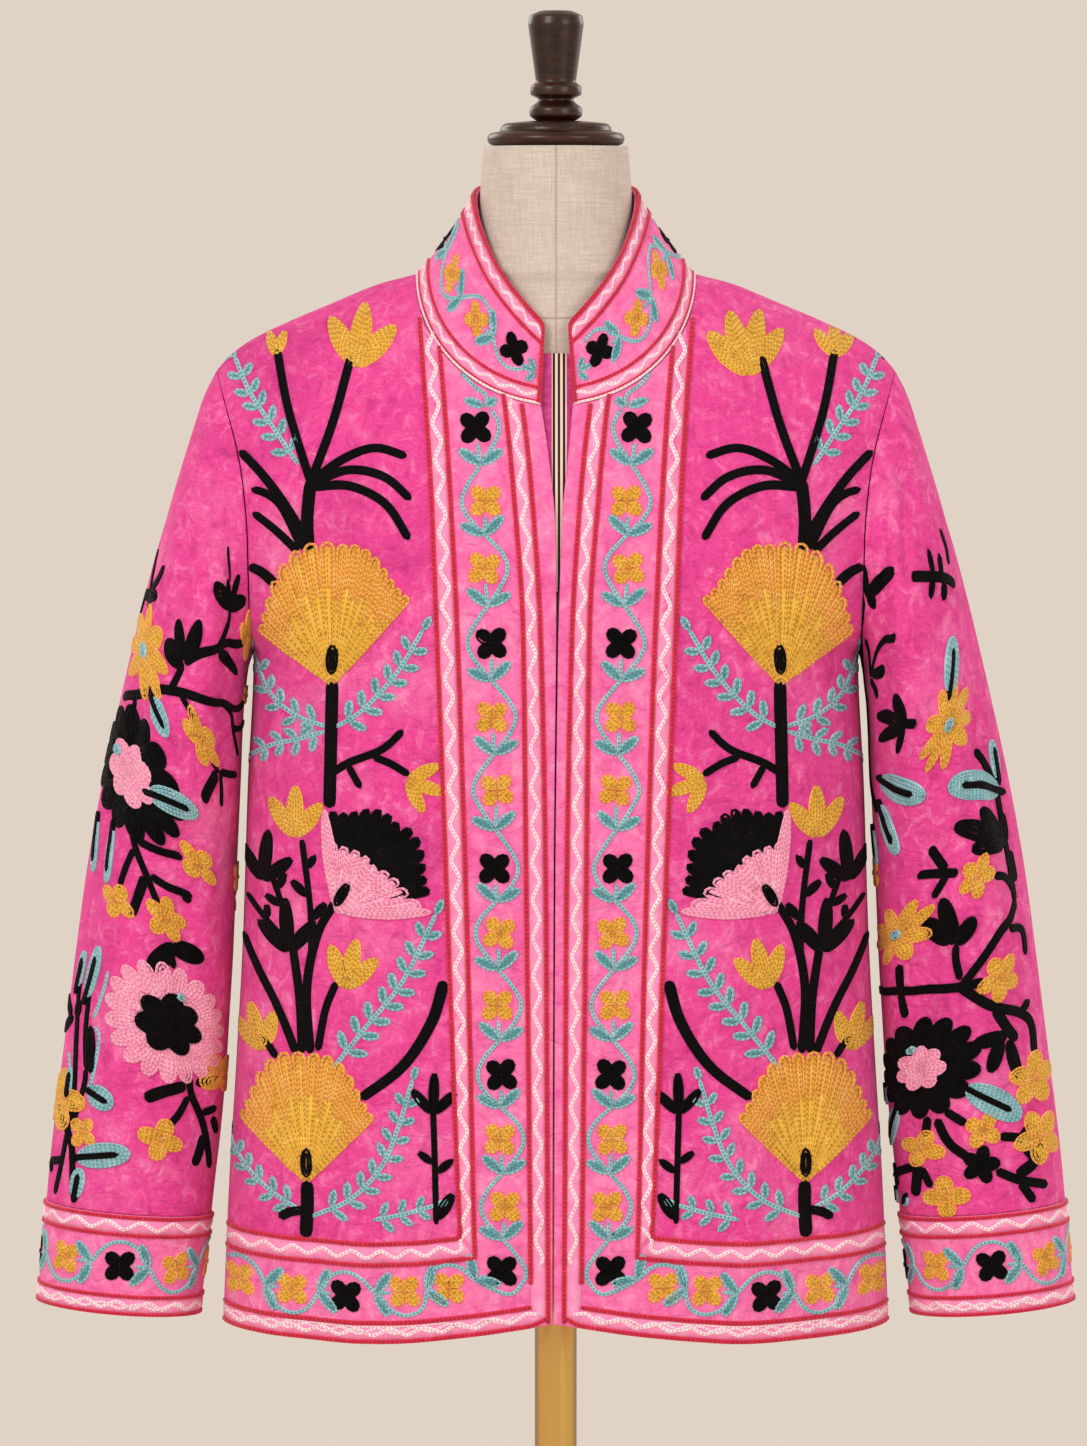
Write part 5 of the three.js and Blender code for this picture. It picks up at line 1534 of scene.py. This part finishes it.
def front_border_stitches(work):
    """Cords, pale bands with a wandering chain, and the flowering vine of a front's border."""
    edge = {}
    for key, foot, top in (("outer", "first", 652), ("second", "second", 634),
                           ("third", "last", 604), ("inner", "last", 598)):
        low = HEM_CORDS[foot] + hem_rise(cord_at[key](40.0)) + (0 if foot == "last" else 3)
        z = np.linspace(low, top, 220)
        edge[key] = joined(cord_at[key](z), z)
    hem = {}
    for key, start in (("first", edge["outer"][0, 0]), ("second", edge["second"][0, 0]),
                       ("third", 16.0), ("last", 6.0)):
        x = np.linspace(start, FRONT_CORD_END, 150)
        hem[key] = joined(x, hem_rise(x) + HEM_CORDS[key])
    # The lowest cord lifts a little where it meets the front edge
    hem["last"][:8, 1] += np.linspace(2.6, 0, 8) ** 1.2

    def pale(a, b):
        a, b = evenly(a, 1.0), evenly(b, 1.0)
        share = np.linspace(0, 1, 120)
        work.band(a[(share * (len(a) - 1)).astype(int)], b[(share * (len(b) - 1)).astype(int)])

    pale(edge["outer"], edge["second"])
    pale(hem["first"], hem["second"])
    pale(edge["third"], edge["inner"])
    pale(hem["third"], hem["last"])
    cord(work, np.concatenate([edge["outer"][::-1], hem["first"]]))
    cord(work, np.concatenate([edge["second"][::-1], hem["second"]]))
    for line in (edge["third"][10:], edge["inner"], hem["third"], hem["last"]):
        cord(work, line)
    middle = mix(edge["outer"], edge["second"], 0.5)[::-1]
    corner = mix(hem["first"], hem["second"], 0.5)
    low = mix(hem["third"], hem["last"], 0.5)
    wave(work, middle[:-4], 3.1, 23, 3.0)
    wave(work, np.concatenate([middle[-5:-4], corner[3:]]), 2.9, 19, 2.8)
    wave(work, mix(edge["third"], edge["inner"], 0.5)[14:], 2.7, 24, 2.8, 0.3)
    wave(work, low, 2.6, 22, 2.7, 0.15)
    wave(work, low[10:] + [0, 0.8], 2.3, 23, 1.8, 0.6)
    work.row(mix(hem["third"], hem["last"], 0.2)[40:120], "white", 1.3, 0.8, 2.6, base=0.1)

    def centred(x, z):
        middle = (cord_at["third"](z) + cord_at["second"](z)) / 2
        return float(middle + 0.45 * (x - middle))

    spots = [(centred(x, z), z, turn) for x, z, turn in EDGE_FLOWERS]
    spots += [(x, float(hem_rise(x)) + 32 + 0.4 * (z - 33), turn) for x, z, turn in HEM_FLOWERS]
    vine(work, [(x, z, 23, "mustard" if i % 3 else "black", turn)
                for i, (x, z, turn) in enumerate(spots)], 12.5, -1)
    work.row(sweep([(44, 596), (45, 604), (51, 608), (60, 617)]), "teal", 2.8, 0.95, 2.6)
    for tip in ((59, 601), (37, 602)):
        teal_leaf(work, (45, 596), tip, 6.4)


def front_garden(work, side):
    """The tall plants of a front panel, from the hem border up to the shoulder."""
    for width, taper, line in GARDEN_STEMS:
        rope(work, line, width, taper=taper)
    for width, leaf, line, leaves in GARDEN_LEAF_STEMS:
        leaf_stem(work, line, leaves, width, leaf)
    for spot, size, turn in GARDEN_LOBES:
        three_lobes(work, spot, size, turn)
    for spot, height, turn, spread, petals in GARDEN_BUDS + SHOULDER_BUDS[side]:
        tulip(work, spot, height, turn, spread, petals)
    # The half fan on its seed
    fan(work, (140, 274), (145, 342), (77, 288), (99, 335), 13, "black", "black", 2.1, 0.5, reach=0.98)
    fan(work, (140, 274), (147, 324), (81, 278), (113, 307), 9, "pale_pink", "pale_pink", 1.9,
        lift=0.35, split=0.99, reach=0.98)
    for base, tip in (((140, 278), (147, 341)), ((135, 275), (78, 277))):
        petal(work, base, tip, 9, "pale_pink", 1.9, 1.2, 0.4, lift=0.4)
    petal(work, (140, 278), (131, 294), 7, "black", 2.0, 1.8, 0.3, lift=0.6)
    # The two mustard fans
    fan(work, (142, 419), (191, 452), (90, 476), (139, 509), 16, seed=21, seed_at=0.19, lift=0.6)
    fan(work, (159, 100), (205, 138), (114, 145), (159, 183), 14, seed=20, seed_at=0.16, lift=0.6)
    for pairs, leaf, line in GARDEN_SPRIGS:
        sprig(work, line, pairs, leaf)
    petal(work, (76, 81), (65, 99), 8.5, "black", 2.1, 1.0, 0.2)


class Unrolled:
    """A sleeve or cuff laid flat: across from its front line, and up, in millimetres."""

    def __init__(self, tube):
        points, normals = tube.grid[:, :-1], tube.normals[:, :-1]
        columns = points.shape[1]
        front = int(np.argmin(points[-1, :, 1]))
        order = (front + np.arange(columns + 1)) % columns
        if points[-1, (front + 4) % columns, 0] < points[-1, front, 0]:
            order = (front - np.arange(columns + 1)) % columns
        points, normals = points[:, order], normals[:, order]
        arcs = np.stack([distances(ring) for ring in points])
        self.around = arcs[:, -1]
        share = np.linspace(0, 1, columns + 1)
        self.points, even_normals = np.empty_like(points), np.empty_like(points)
        for i, arc in enumerate(arcs):
            for k in range(3):
                self.points[i, :, k] = np.interp(share * arc[-1], arc, points[i, :, k])
                even_normals[i, :, k] = np.interp(share * arc[-1], arc, normals[i, :, k])
        self.down = distances(self.points[:, 0])
        self.rows = np.arange(len(self.down))
        self.cloth = Cloth(self.points, True, even_normals)
        reach = columns // 4 + 2
        self.seen_row, self.seen_column = np.meshgrid(
            np.arange(0, len(self.down) - 1, 0.5), np.arange(-reach, reach + 0.1, 0.25), indexing="ij")
        self.seen = self.cloth.place(self.seen_column, self.seen_row, np.zeros_like(self.seen_row))

    def place(self, across, up, lift):
        row = np.interp(-up, self.down, self.rows)
        around = np.interp(row, self.rows, self.around)
        return self.cloth.place(across / around * (self.points.shape[1] - 1), row, lift)

    def spot(self, x, z):
        """The flat place that is seen at x and z from the front."""
        nearest = np.argmin((self.seen[..., 0] - x) ** 2 + (self.seen[..., 2] - z) ** 2)
        row, column = self.seen_row.ravel()[nearest], self.seen_column.ravel()[nearest]
        share = column / (self.points.shape[1] - 1)
        return share * np.interp(row, self.rows, self.around), -np.interp(row, self.rows, self.down)

    def hidden(self, around, down):
        """The flat place at millimetres round a sleeve of usual width, and down from its top."""
        return around * np.interp(down, self.down, self.around) / USUAL_SLEEVE_ROUND, -down


class Flattened:
    """The collar laid flat: along its middle from the wearer's left front edge, and up from the neckline."""

    def __init__(self, strip):
        self.strip = strip
        self.along = distances(strip.grid[BAND_ROWS // 2])
        self.tall = np.linalg.norm(np.diff(strip.grid, axis=0), axis=-1).sum(axis=0)

    def height(self, s):
        return np.interp(s, self.along, self.tall)

    def place(self, s, up, lift):
        column = np.interp(s, self.along, np.arange(len(self.along)))
        return self.strip.place(column, up / self.height(s) * (BAND_ROWS - 1), lift)


def cored_leaf(work, base, tip, width):
    """A teal leaf of two rows about a black stroke."""
    petal(work, base, tip, width, "teal", 2.1, 0.95, -0.1, core="teal", lift=0.8)
    base, tip = np.asarray(base, float), np.asarray(tip, float)
    rope(work, [mix(base, tip, -0.12), mix(base, tip, 0.78)], 3.8, 1.9, height=2.5)


def draw(work, at, drawing):
    """Stitches a drawing through a change of place."""
    for width, line in drawing["stems"]:
        rope(work, [at(*spot) for spot in line], width, 2.0)
    for line in drawing["outlines"]:
        work.row(sweep([at(*spot) for spot in line]), "teal", 3.0, 0.9, 2.8)
    for x, z, tip_x, tip_z, width in drawing["leaves"]:
        petal(work, at(x, z), at(tip_x, tip_z), width, "black", 2.1, 1.1, -0.15)
    for (x, z), radius, petals, thread, heart_radius, heart, dot in drawing["daisies"]:
        middle = np.array(at(x, z))
        dot_at = np.clip(np.array(at(*dot)) - middle, -heart_radius - 3, heart_radius + 3)
        daisy(widened(work, at, x, z), middle, radius, petals, thread, heart_radius, heart, dot_at)
    for x, z, size, petals, turn, *black in drawing["flowers"]:
        flower(widened(work, at, x, z), at(x, z), size, "black" if black else "mustard", petals, turn,
               "teal" if petals > 5 else None, lift=0.5, full=1.9)
    for x, z, tip_x, tip_z, width in drawing["cored"]:
        cored_leaf(work, at(x, z), at(tip_x, tip_z), width)


def cuff_stitches(work, length):
    """Two pale bands between crimson cords, and a vine round the middle."""
    def line(up, count=2):
        return joined(np.linspace(-length / 2, length / 2, count), up)

    for low, high in ((-12.6, -1.4), (-64.6, -53.6)):
        work.band(line(low, 160), line(high, 160))
    for up in (-1.6, -13.2, -53.2, -64.6):
        cord(work, line(up), 2.6)
    wave(work, line(-7.2), 3.2, length / 14, 2.8)
    wave(work, line(-59.0), 2.8, length / 15, 2.6)
    wave(work, line(-59.6), 2.2, length / 13, 1.9, 0.4)
    count = len(CUFF_FLOWERS)
    vine(work, [
        (length / count * (i - count / 2), -33.2 + 1.2 * math.sin(i * 2.4), 23, CUFF_FLOWERS[i % count],
         40 + 9 * (i % 3)) for i in range(count + 1)])


def collar_stitches(work, length, height):
    """Crimson piping, pale bands along the top and the neckline, and a vine between them."""
    count = 240
    s = np.linspace(0.8, length - 0.8, count)

    def line(up=0, down=None, trim=0):
        return joined(s, up if down is None else height(s) - down)[trim:count - trim]

    work.band(line(down=12.4), line(down=2.4))
    work.band(line(up=3.2), line(up=12.2))
    work.row(np.concatenate([
        [[1.4, up] for up in np.linspace(1, height(1.0) - 2, 20)], line(down=1.4, trim=1),
        [[length - 1.4, up] for up in np.linspace(height(length - 1.0) - 2, 1, 20)],
    ]), "crimson", 3.4, 1.9, 2.8, ends=0.9)
    cord(work, line(down=13.6), 2.6)
    cord(work, line(up=13.2), 2.6)
    work.row(line(up=2.6), "crimson", 1.5, 0.8, 2.6)
    work.row(line(up=0.9), "white", 2.0, 1.0, 2.6)
    wave(work, line(down=7.4), 2.4, 15)
    wave(work, line(up=7.8), 2.4, 16, phase=0.3)
    half = [(22, "black"), (56, "mustard"), (96, "mustard"), (137, "black"), (178, "mustard"),
            (218, "mustard"), (258, "black")]
    spots = half + [(length - at, kind if at < 240 else "mustard") for at, kind in half[::-1]]
    vine(work, [(at, height(at) / 2 + 1.5 * math.sin(at), 22, kind, 30 + at % 37)
                for at, kind in spots], 12.0)
    for edge, inward in ((0, 1), (length, -1)):
        root = np.array([edge + 5.0 * inward, height(edge) / 2 - 4])
        for angle in (-58, 10, 62):
            teal_leaf(work, root, root + direction(angle) * [inward, 1] * 11, 5, 1.7, 0.85, 0.5)


def back_border_stitches(work):
    """The hem's cords, bands and vine carried across the back."""
    at = {key: hem_rise(220) + height for key, height in HEM_CORDS.items()}

    def line(up):
        return joined(np.linspace(-BACK_CORD_END, BACK_CORD_END, 300), up)

    work.band(line(at["second"]), line(at["first"]))
    work.band(line(at["last"]), line(at["third"]))
    for up in at.values():
        cord(work, line(up))
    low = (at["third"] + at["last"]) / 2
    wave(work, line((at["first"] + at["second"]) / 2), 2.9, 19, 2.8)
    wave(work, line(low), 2.6, 22, 2.7, 0.15)
    wave(work, line(low + 0.6), 2.3, 23, 1.9, 0.6)
    vine(work, [(x, at["third"] + 18.6 + 1.4 * math.sin(x), 23, "black" if i % 3 == 2 else "mustard",
                 40 + (i * 7) % 19) for i, x in enumerate(np.linspace(-204, 204, 13))], 13.0, -1)


# The dress form
FORM_BOTTOM = 90
SHOULDER_CLEARANCE = 0.8
NECK_MIDDLE_Y = -3
NECK_SEAM = HEM_HEIGHT + 652
FORM_TRUNK = {
    "z": [90, 150, 220, 300, 380, 450, 530, 600, 630],
    "half": [150, 160, 148, 128, 146, 163, 172, 181, 181],
    "fill": [0.8, 0.86, 0.82, 0.74, 0.82, 0.9, 0.91, 0.84, 0.82],
}
FORM_NECK = {
    "z": [620, 665, 681, 688, 700, 714, 738, 762],
    "half": [62, 62, 61, 56, 52, 49.5, 48.5, 46.5],
    "front": [52, 50, 48.5, 47.5, 46.5, 46, 45.5, 44],
    "back": [46, 45, 44, 43, 42, 41, 41, 40],
}
NECK_CAP = [
    (40, 0), (43.5, 1.5), (44.5, 5), (43, 8), (36, 9.5), (35.5, 12.5), (33, 14.5), (18, 16),
]
FINIAL = [
    (13, 0), (17, 3), (17, 8), (12, 12), (11, 14), (16.5, 16.5), (16.5, 22), (13, 24.5), (13.2, 27),
    (18, 62), (17, 67.5), (10, 70.5),
]
BASE = [(166, 0), (170, 4), (170, 11), (165, 16), (60, 20), (24, 24)]
POLE_RADIUS = 13.75
BASE_HEIGHT = 24
FORM_SIDES = 128


def ring_faces(rings, sides):
    """Faces round a stack of rings, closed at both ends by four-sided faces."""
    i = np.arange(1, sides - 2, 2)
    low = joined(0, i + 2, i + 1, i)
    high = (rings - 1) * sides + joined(0, i, i + 1, i + 2)
    return [grid_faces(rings, sides, True), low, high]


def form_torso():
    """The form's rings: the jacket's own shape let in, the shoulders, then the neck."""
    drop = WALL + SHOULDER_CLEARANCE
    trunk_half = through(FORM_TRUNK["z"], FORM_TRUNK["half"])
    trunk_fill = through(FORM_TRUNK["z"], FORM_TRUNK["fill"])
    neck = {key: through(FORM_NECK["z"], FORM_NECK[key]) for key in ("half", "front", "back")}
    turn = np.linspace(0, 2 * math.pi, FORM_SIDES, endpoint=False)
    sine, cosine = np.sin(turn), np.cos(turn)
    rings = []
    trunk = [(z, trunk_half(z), trunk_fill(z)) for z in np.linspace(FORM_BOTTOM, FORM_TRUNK["z"][-1], 70)]
    shoulder = []
    for share in (0.05, 0.12, 0.2, 0.3, 0.4, 0.5, 0.6, 0.7, 0.8, 0.9, 1.0):
        x = mix(176, 95, share)
        shoulder.append((shoulder_height(x) - drop, x, 0.82 - 0.2 * share ** 2))
    for z, half, fill in trunk + shoulder:
        x = half * cosine
        widen = mix(half_width(z) / half, 1, np.clip((z - 520) / 80, 0, 1))
        plain = {side: plain_depth(x * widen, z + drop, side) for side in ("front", "back")}
        full = np.where(sine > 0, plain["front"], plain["back"]) * fill * np.abs(sine) ** 0.25
        root = np.where(sine > 0, neck["front"](z), neck["back"](z))
        reach = root * np.sqrt(np.maximum(1 - (x / neck["half"](z)) ** 2, 0))
        rings.append(joined(x, -np.sign(sine) * (full ** 6 + reach ** 6) ** (1 / 6), z))
    for z in np.concatenate([[681], np.linspace(684, FORM_NECK["z"][-1], 27)]):
        depth = np.where(sine > 0, neck["front"](z), neck["back"](z))
        rings.append(joined(neck["half"](z) * cosine, NECK_MIDDLE_Y - depth * sine, z))
    ends = [[mix(ring.mean(axis=0), ring, share) for share in (0.02, 0.96)] for ring in (rings[0], rings[-1])]
    grid = np.stack(ends[0] + rings + ends[1][::-1])
    faces = [part[:, ::-1] for part in ring_faces(len(grid), FORM_SIDES)]
    return new_object("form_cover", grid.reshape(-1, 3), faces, [linen()])


def turned(name, profile, height, material, sides=96):
    """A turned piece from its profile, corners eased."""
    profile = [(0.4, profile[0][1])] + profile + [(0.4, profile[-1][1])]
    turn = np.linspace(0, 2 * math.pi, sides, endpoint=False)
    grid = np.stack([joined(radius * np.cos(turn), radius * np.sin(turn), z + height)
                     for radius, z in profile])
    made = new_object(name, grid.reshape(-1, 3), ring_faces(len(grid), sides), [material])
    ease_edges(made, 1.0, 3, 18)
    return made


STRIP_HALF_WIDTH = 34
STRIP_BOTTOM = 480
STRIP_TOP = 630
STRIP_WALL = 1.2


def inner_strip():
    """The striped strip behind the open front edges, leaning away from them towards its top."""
    z, x = np.meshgrid(np.linspace(STRIP_BOTTOM, STRIP_TOP, 40),
                       np.linspace(-STRIP_HALF_WIDTH, STRIP_HALF_WIDTH, 41), indexing="ij")
    behind = WALL + 0.6 + 3.6 * np.clip((z - 580) / 50, 0, 1)
    grid = joined(x, behind / 0.95 - plain_depth(x, z, "front"), z)
    return wall("inner_strip_cloth", grid, grid_normals(grid), striped_cloth(), thickness=STRIP_WALL)


# Building the pieces
SIDES = {"right": -1, "left": 1}
sleeves = {side: Cloth(sleeve_grid(side), True) for side in SIDES}
cuffs = {side: Cloth(cuff_grid(sleeves[side].grid[:, :-1]), True) for side in SIDES}
collar = Cloth(collar_grid())
plain_velvet = velvet("velvet_plain")
trim_velvet = velvet("velvet_trim", whole_border)
front_velvet = velvet("velvet_front", front_border)


def tube_wall(name, tube, material):
    return wall(name, tube.grid[:, :-1], tube.normals[:, :-1], material, around=True)


def make_cloth():
    made = {"back": wall("back_cloth", back, back_normals, velvet("velvet_back", hem_border))}
    for side in SIDES:
        made[f"{side}_front"] = wall(
            f"{side}_front_cloth", fronts[side], front_normals[side], front_velvet)
        made[f"{side}_sleeve"] = tube_wall(f"{side}_sleeve_cloth", sleeves[side], plain_velvet)
        made[f"{side}_cuff"] = tube_wall(f"{side}_cuff_cloth", cuffs[side], trim_velvet)
    made["collar"] = wall("collar_cloth", collar.grid, collar.normals, trim_velvet)
    made["inner_strip"] = inner_strip()
    return made


def make_form():
    wood, metal = dark_wood(), brass()
    neck_top = FORM_NECK["z"][-1]
    cap_top = neck_top + SEAM_GAP + NECK_CAP[-1][1]
    pole_length = HEM_HEIGHT + FORM_BOTTOM - BASE_HEIGHT - 2 * SEAM_GAP
    pole = [(POLE_RADIUS, 0), (POLE_RADIUS, pole_length)]
    return {
        "form_torso": form_torso(),
        "neck_cap": turned("neck_cap_turned", NECK_CAP, neck_top + SEAM_GAP, wood),
        "finial": turned("finial_turned", FINIAL, cap_top + SEAM_GAP, wood),
        "pole": turned("pole_tube", pole, BASE_HEIGHT + SEAM_GAP - HEM_HEIGHT, metal),
        "base": turned("round_foot", BASE, -HEM_HEIGHT, metal),
    }


def sewn(name, node, place, *steps):
    """One piece of needlework on a piece of cloth."""
    work = Needlework(place)
    for step in steps:
        step(work)
    made = work.finish(name)
    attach(made, "root")


def stitch_everything():
    for name, side in SIDES.items():
        sewn(f"{name}_front_stitching", f"{name}_front", body_place("front"),
             lambda work: front_border_stitches(mirrored(work, side)),
             lambda work: front_garden(mirrored(work, side), name))
        sleeve, cuff = Unrolled(sleeves[name]), Unrolled(cuffs[name])
        sewn(f"{name}_sleeve_stitching", f"{name}_sleeve", sleeve.place,
             lambda work: draw(work, sleeve.spot, SLEEVE_DRAWINGS[name]),
             lambda work: draw(work, sleeve.hidden, BACK_OF_SLEEVE))
        sewn(f"{name}_cuff_stitching", f"{name}_cuff", cuff.place,
             lambda work: cuff_stitches(work, cuff.around.mean()))
        sewn(f"back_plants_{name}", "back", body_place("back"),
             lambda work: front_garden(mirrored(work, side, (-40, 4 * side)), name))
    sewn("back_border_stitching", "back", body_place("back"), back_border_stitches,
         lambda work: draw(work, lambda x, z: (x, z), BACK_MIDDLE))
    flat_collar = Flattened(collar)
    sewn("collar_stitching", "collar", flat_collar.place,
         lambda work: collar_stitches(work, flat_collar.along[-1], flat_collar.height))


cloth = make_cloth()
stitch_everything()
for node, piece in {**cloth, **make_form()}.items():
    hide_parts(node)
    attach(piece, "root")


def flat_size(grid, around=False):
    """The cut of a panel: its greatest width and length over the curve, and its area, in metres."""
    closed = np.concatenate([grid, grid[:, :1]], axis=1) if around else grid
    across = np.diff(closed, axis=1)
    along = np.diff(grid, axis=0)
    widths = np.linalg.norm(across, axis=-1).sum(axis=1)
    lengths = np.linalg.norm(along, axis=-1).sum(axis=0)
    a = across[:-1, : along.shape[1]]
    b = along[:, : a.shape[1]]
    area = np.linalg.norm(np.cross(a, b), axis=-1).sum() * MM * MM
    width, length = widths.max() * MM, lengths.max() * MM
    return width, length, min(area, width * length)


def declare(grid, around=False):
    width, length, area = flat_size(grid, around)


for side in SIDES:
    declare(fronts[side])
    declare(sleeves[side].grid[:, :-1], True)
    declare(cuffs[side].grid[:, :-1], True)
declare(back)
declare(collar.grid)

# Floor, camera and light
bpy.ops.mesh.primitive_circle_add(vertices=96, radius=2.3, fill_type="NGON", location=(0, 0, 0))
floor = bpy.context.active_object
floor.name = "floor"
floor.data.materials.append(floor_paint())

VIEW_HEIGHT = 0.925
VIEW_CENTRE = Vector((-0.008, -0.06, 1.0335))
ELEVATION = 4.0
DISTANCE = 4.2
FILM = 36.0

camera = bpy.data.objects.new("camera", bpy.data.cameras.new("camera"))
bpy.context.scene.collection.objects.link(camera)
lean = math.radians(ELEVATION)
away = Vector((0, -math.cos(lean), math.sin(lean)))
camera.location = VIEW_CENTRE + away * DISTANCE
camera.rotation_euler = (-away).to_track_quat("-Z", "Y").to_euler()
camera.data.sensor_width = FILM
camera.data.lens = FILM * DISTANCE / VIEW_HEIGHT
camera.data.clip_end = 300
bpy.context.scene.camera = camera


def soft_light(name, place, size, power, colour=(1.0, 0.96, 0.92), aim=(0, 0, 1.0)):
    """A large soft lamp that looks at the jacket."""
    lamp = bpy.data.lights.new(name, "AREA")
    lamp.shape = "RECTANGLE"
    lamp.size, lamp.size_y = size
    lamp.energy = power
    lamp.color = colour
    made = bpy.data.objects.new(name, lamp)
    made.location = place
    made.rotation_euler = (Vector(aim) - Vector(place)).to_track_quat("-Z", "Y").to_euler()
    bpy.context.scene.collection.objects.link(made)


soft_light("key", (-1.9, -2.8, 2.7), (1.4, 1.6), 68)
soft_light("fill", (2.2, -2.6, 2.0), (1.6, 1.8), 34, (1.0, 0.95, 0.9))
soft_light("behind_left", (-2.2, 2.6, 2.4), (1.6, 1.8), 32)
soft_light("behind_right", (2.4, 2.2, 2.2), (1.4, 1.6), 28)

world = bpy.data.worlds.new("studio")
bpy.context.scene.world = world
world.use_nodes = True
background = world.node_tree.nodes["Background"]
background.inputs["Color"].default_value = (*paint("#e0d3c5"), 1)
background.inputs["Strength"].default_value = 1.0
bpy.context.scene.view_settings.view_transform = "Standard"
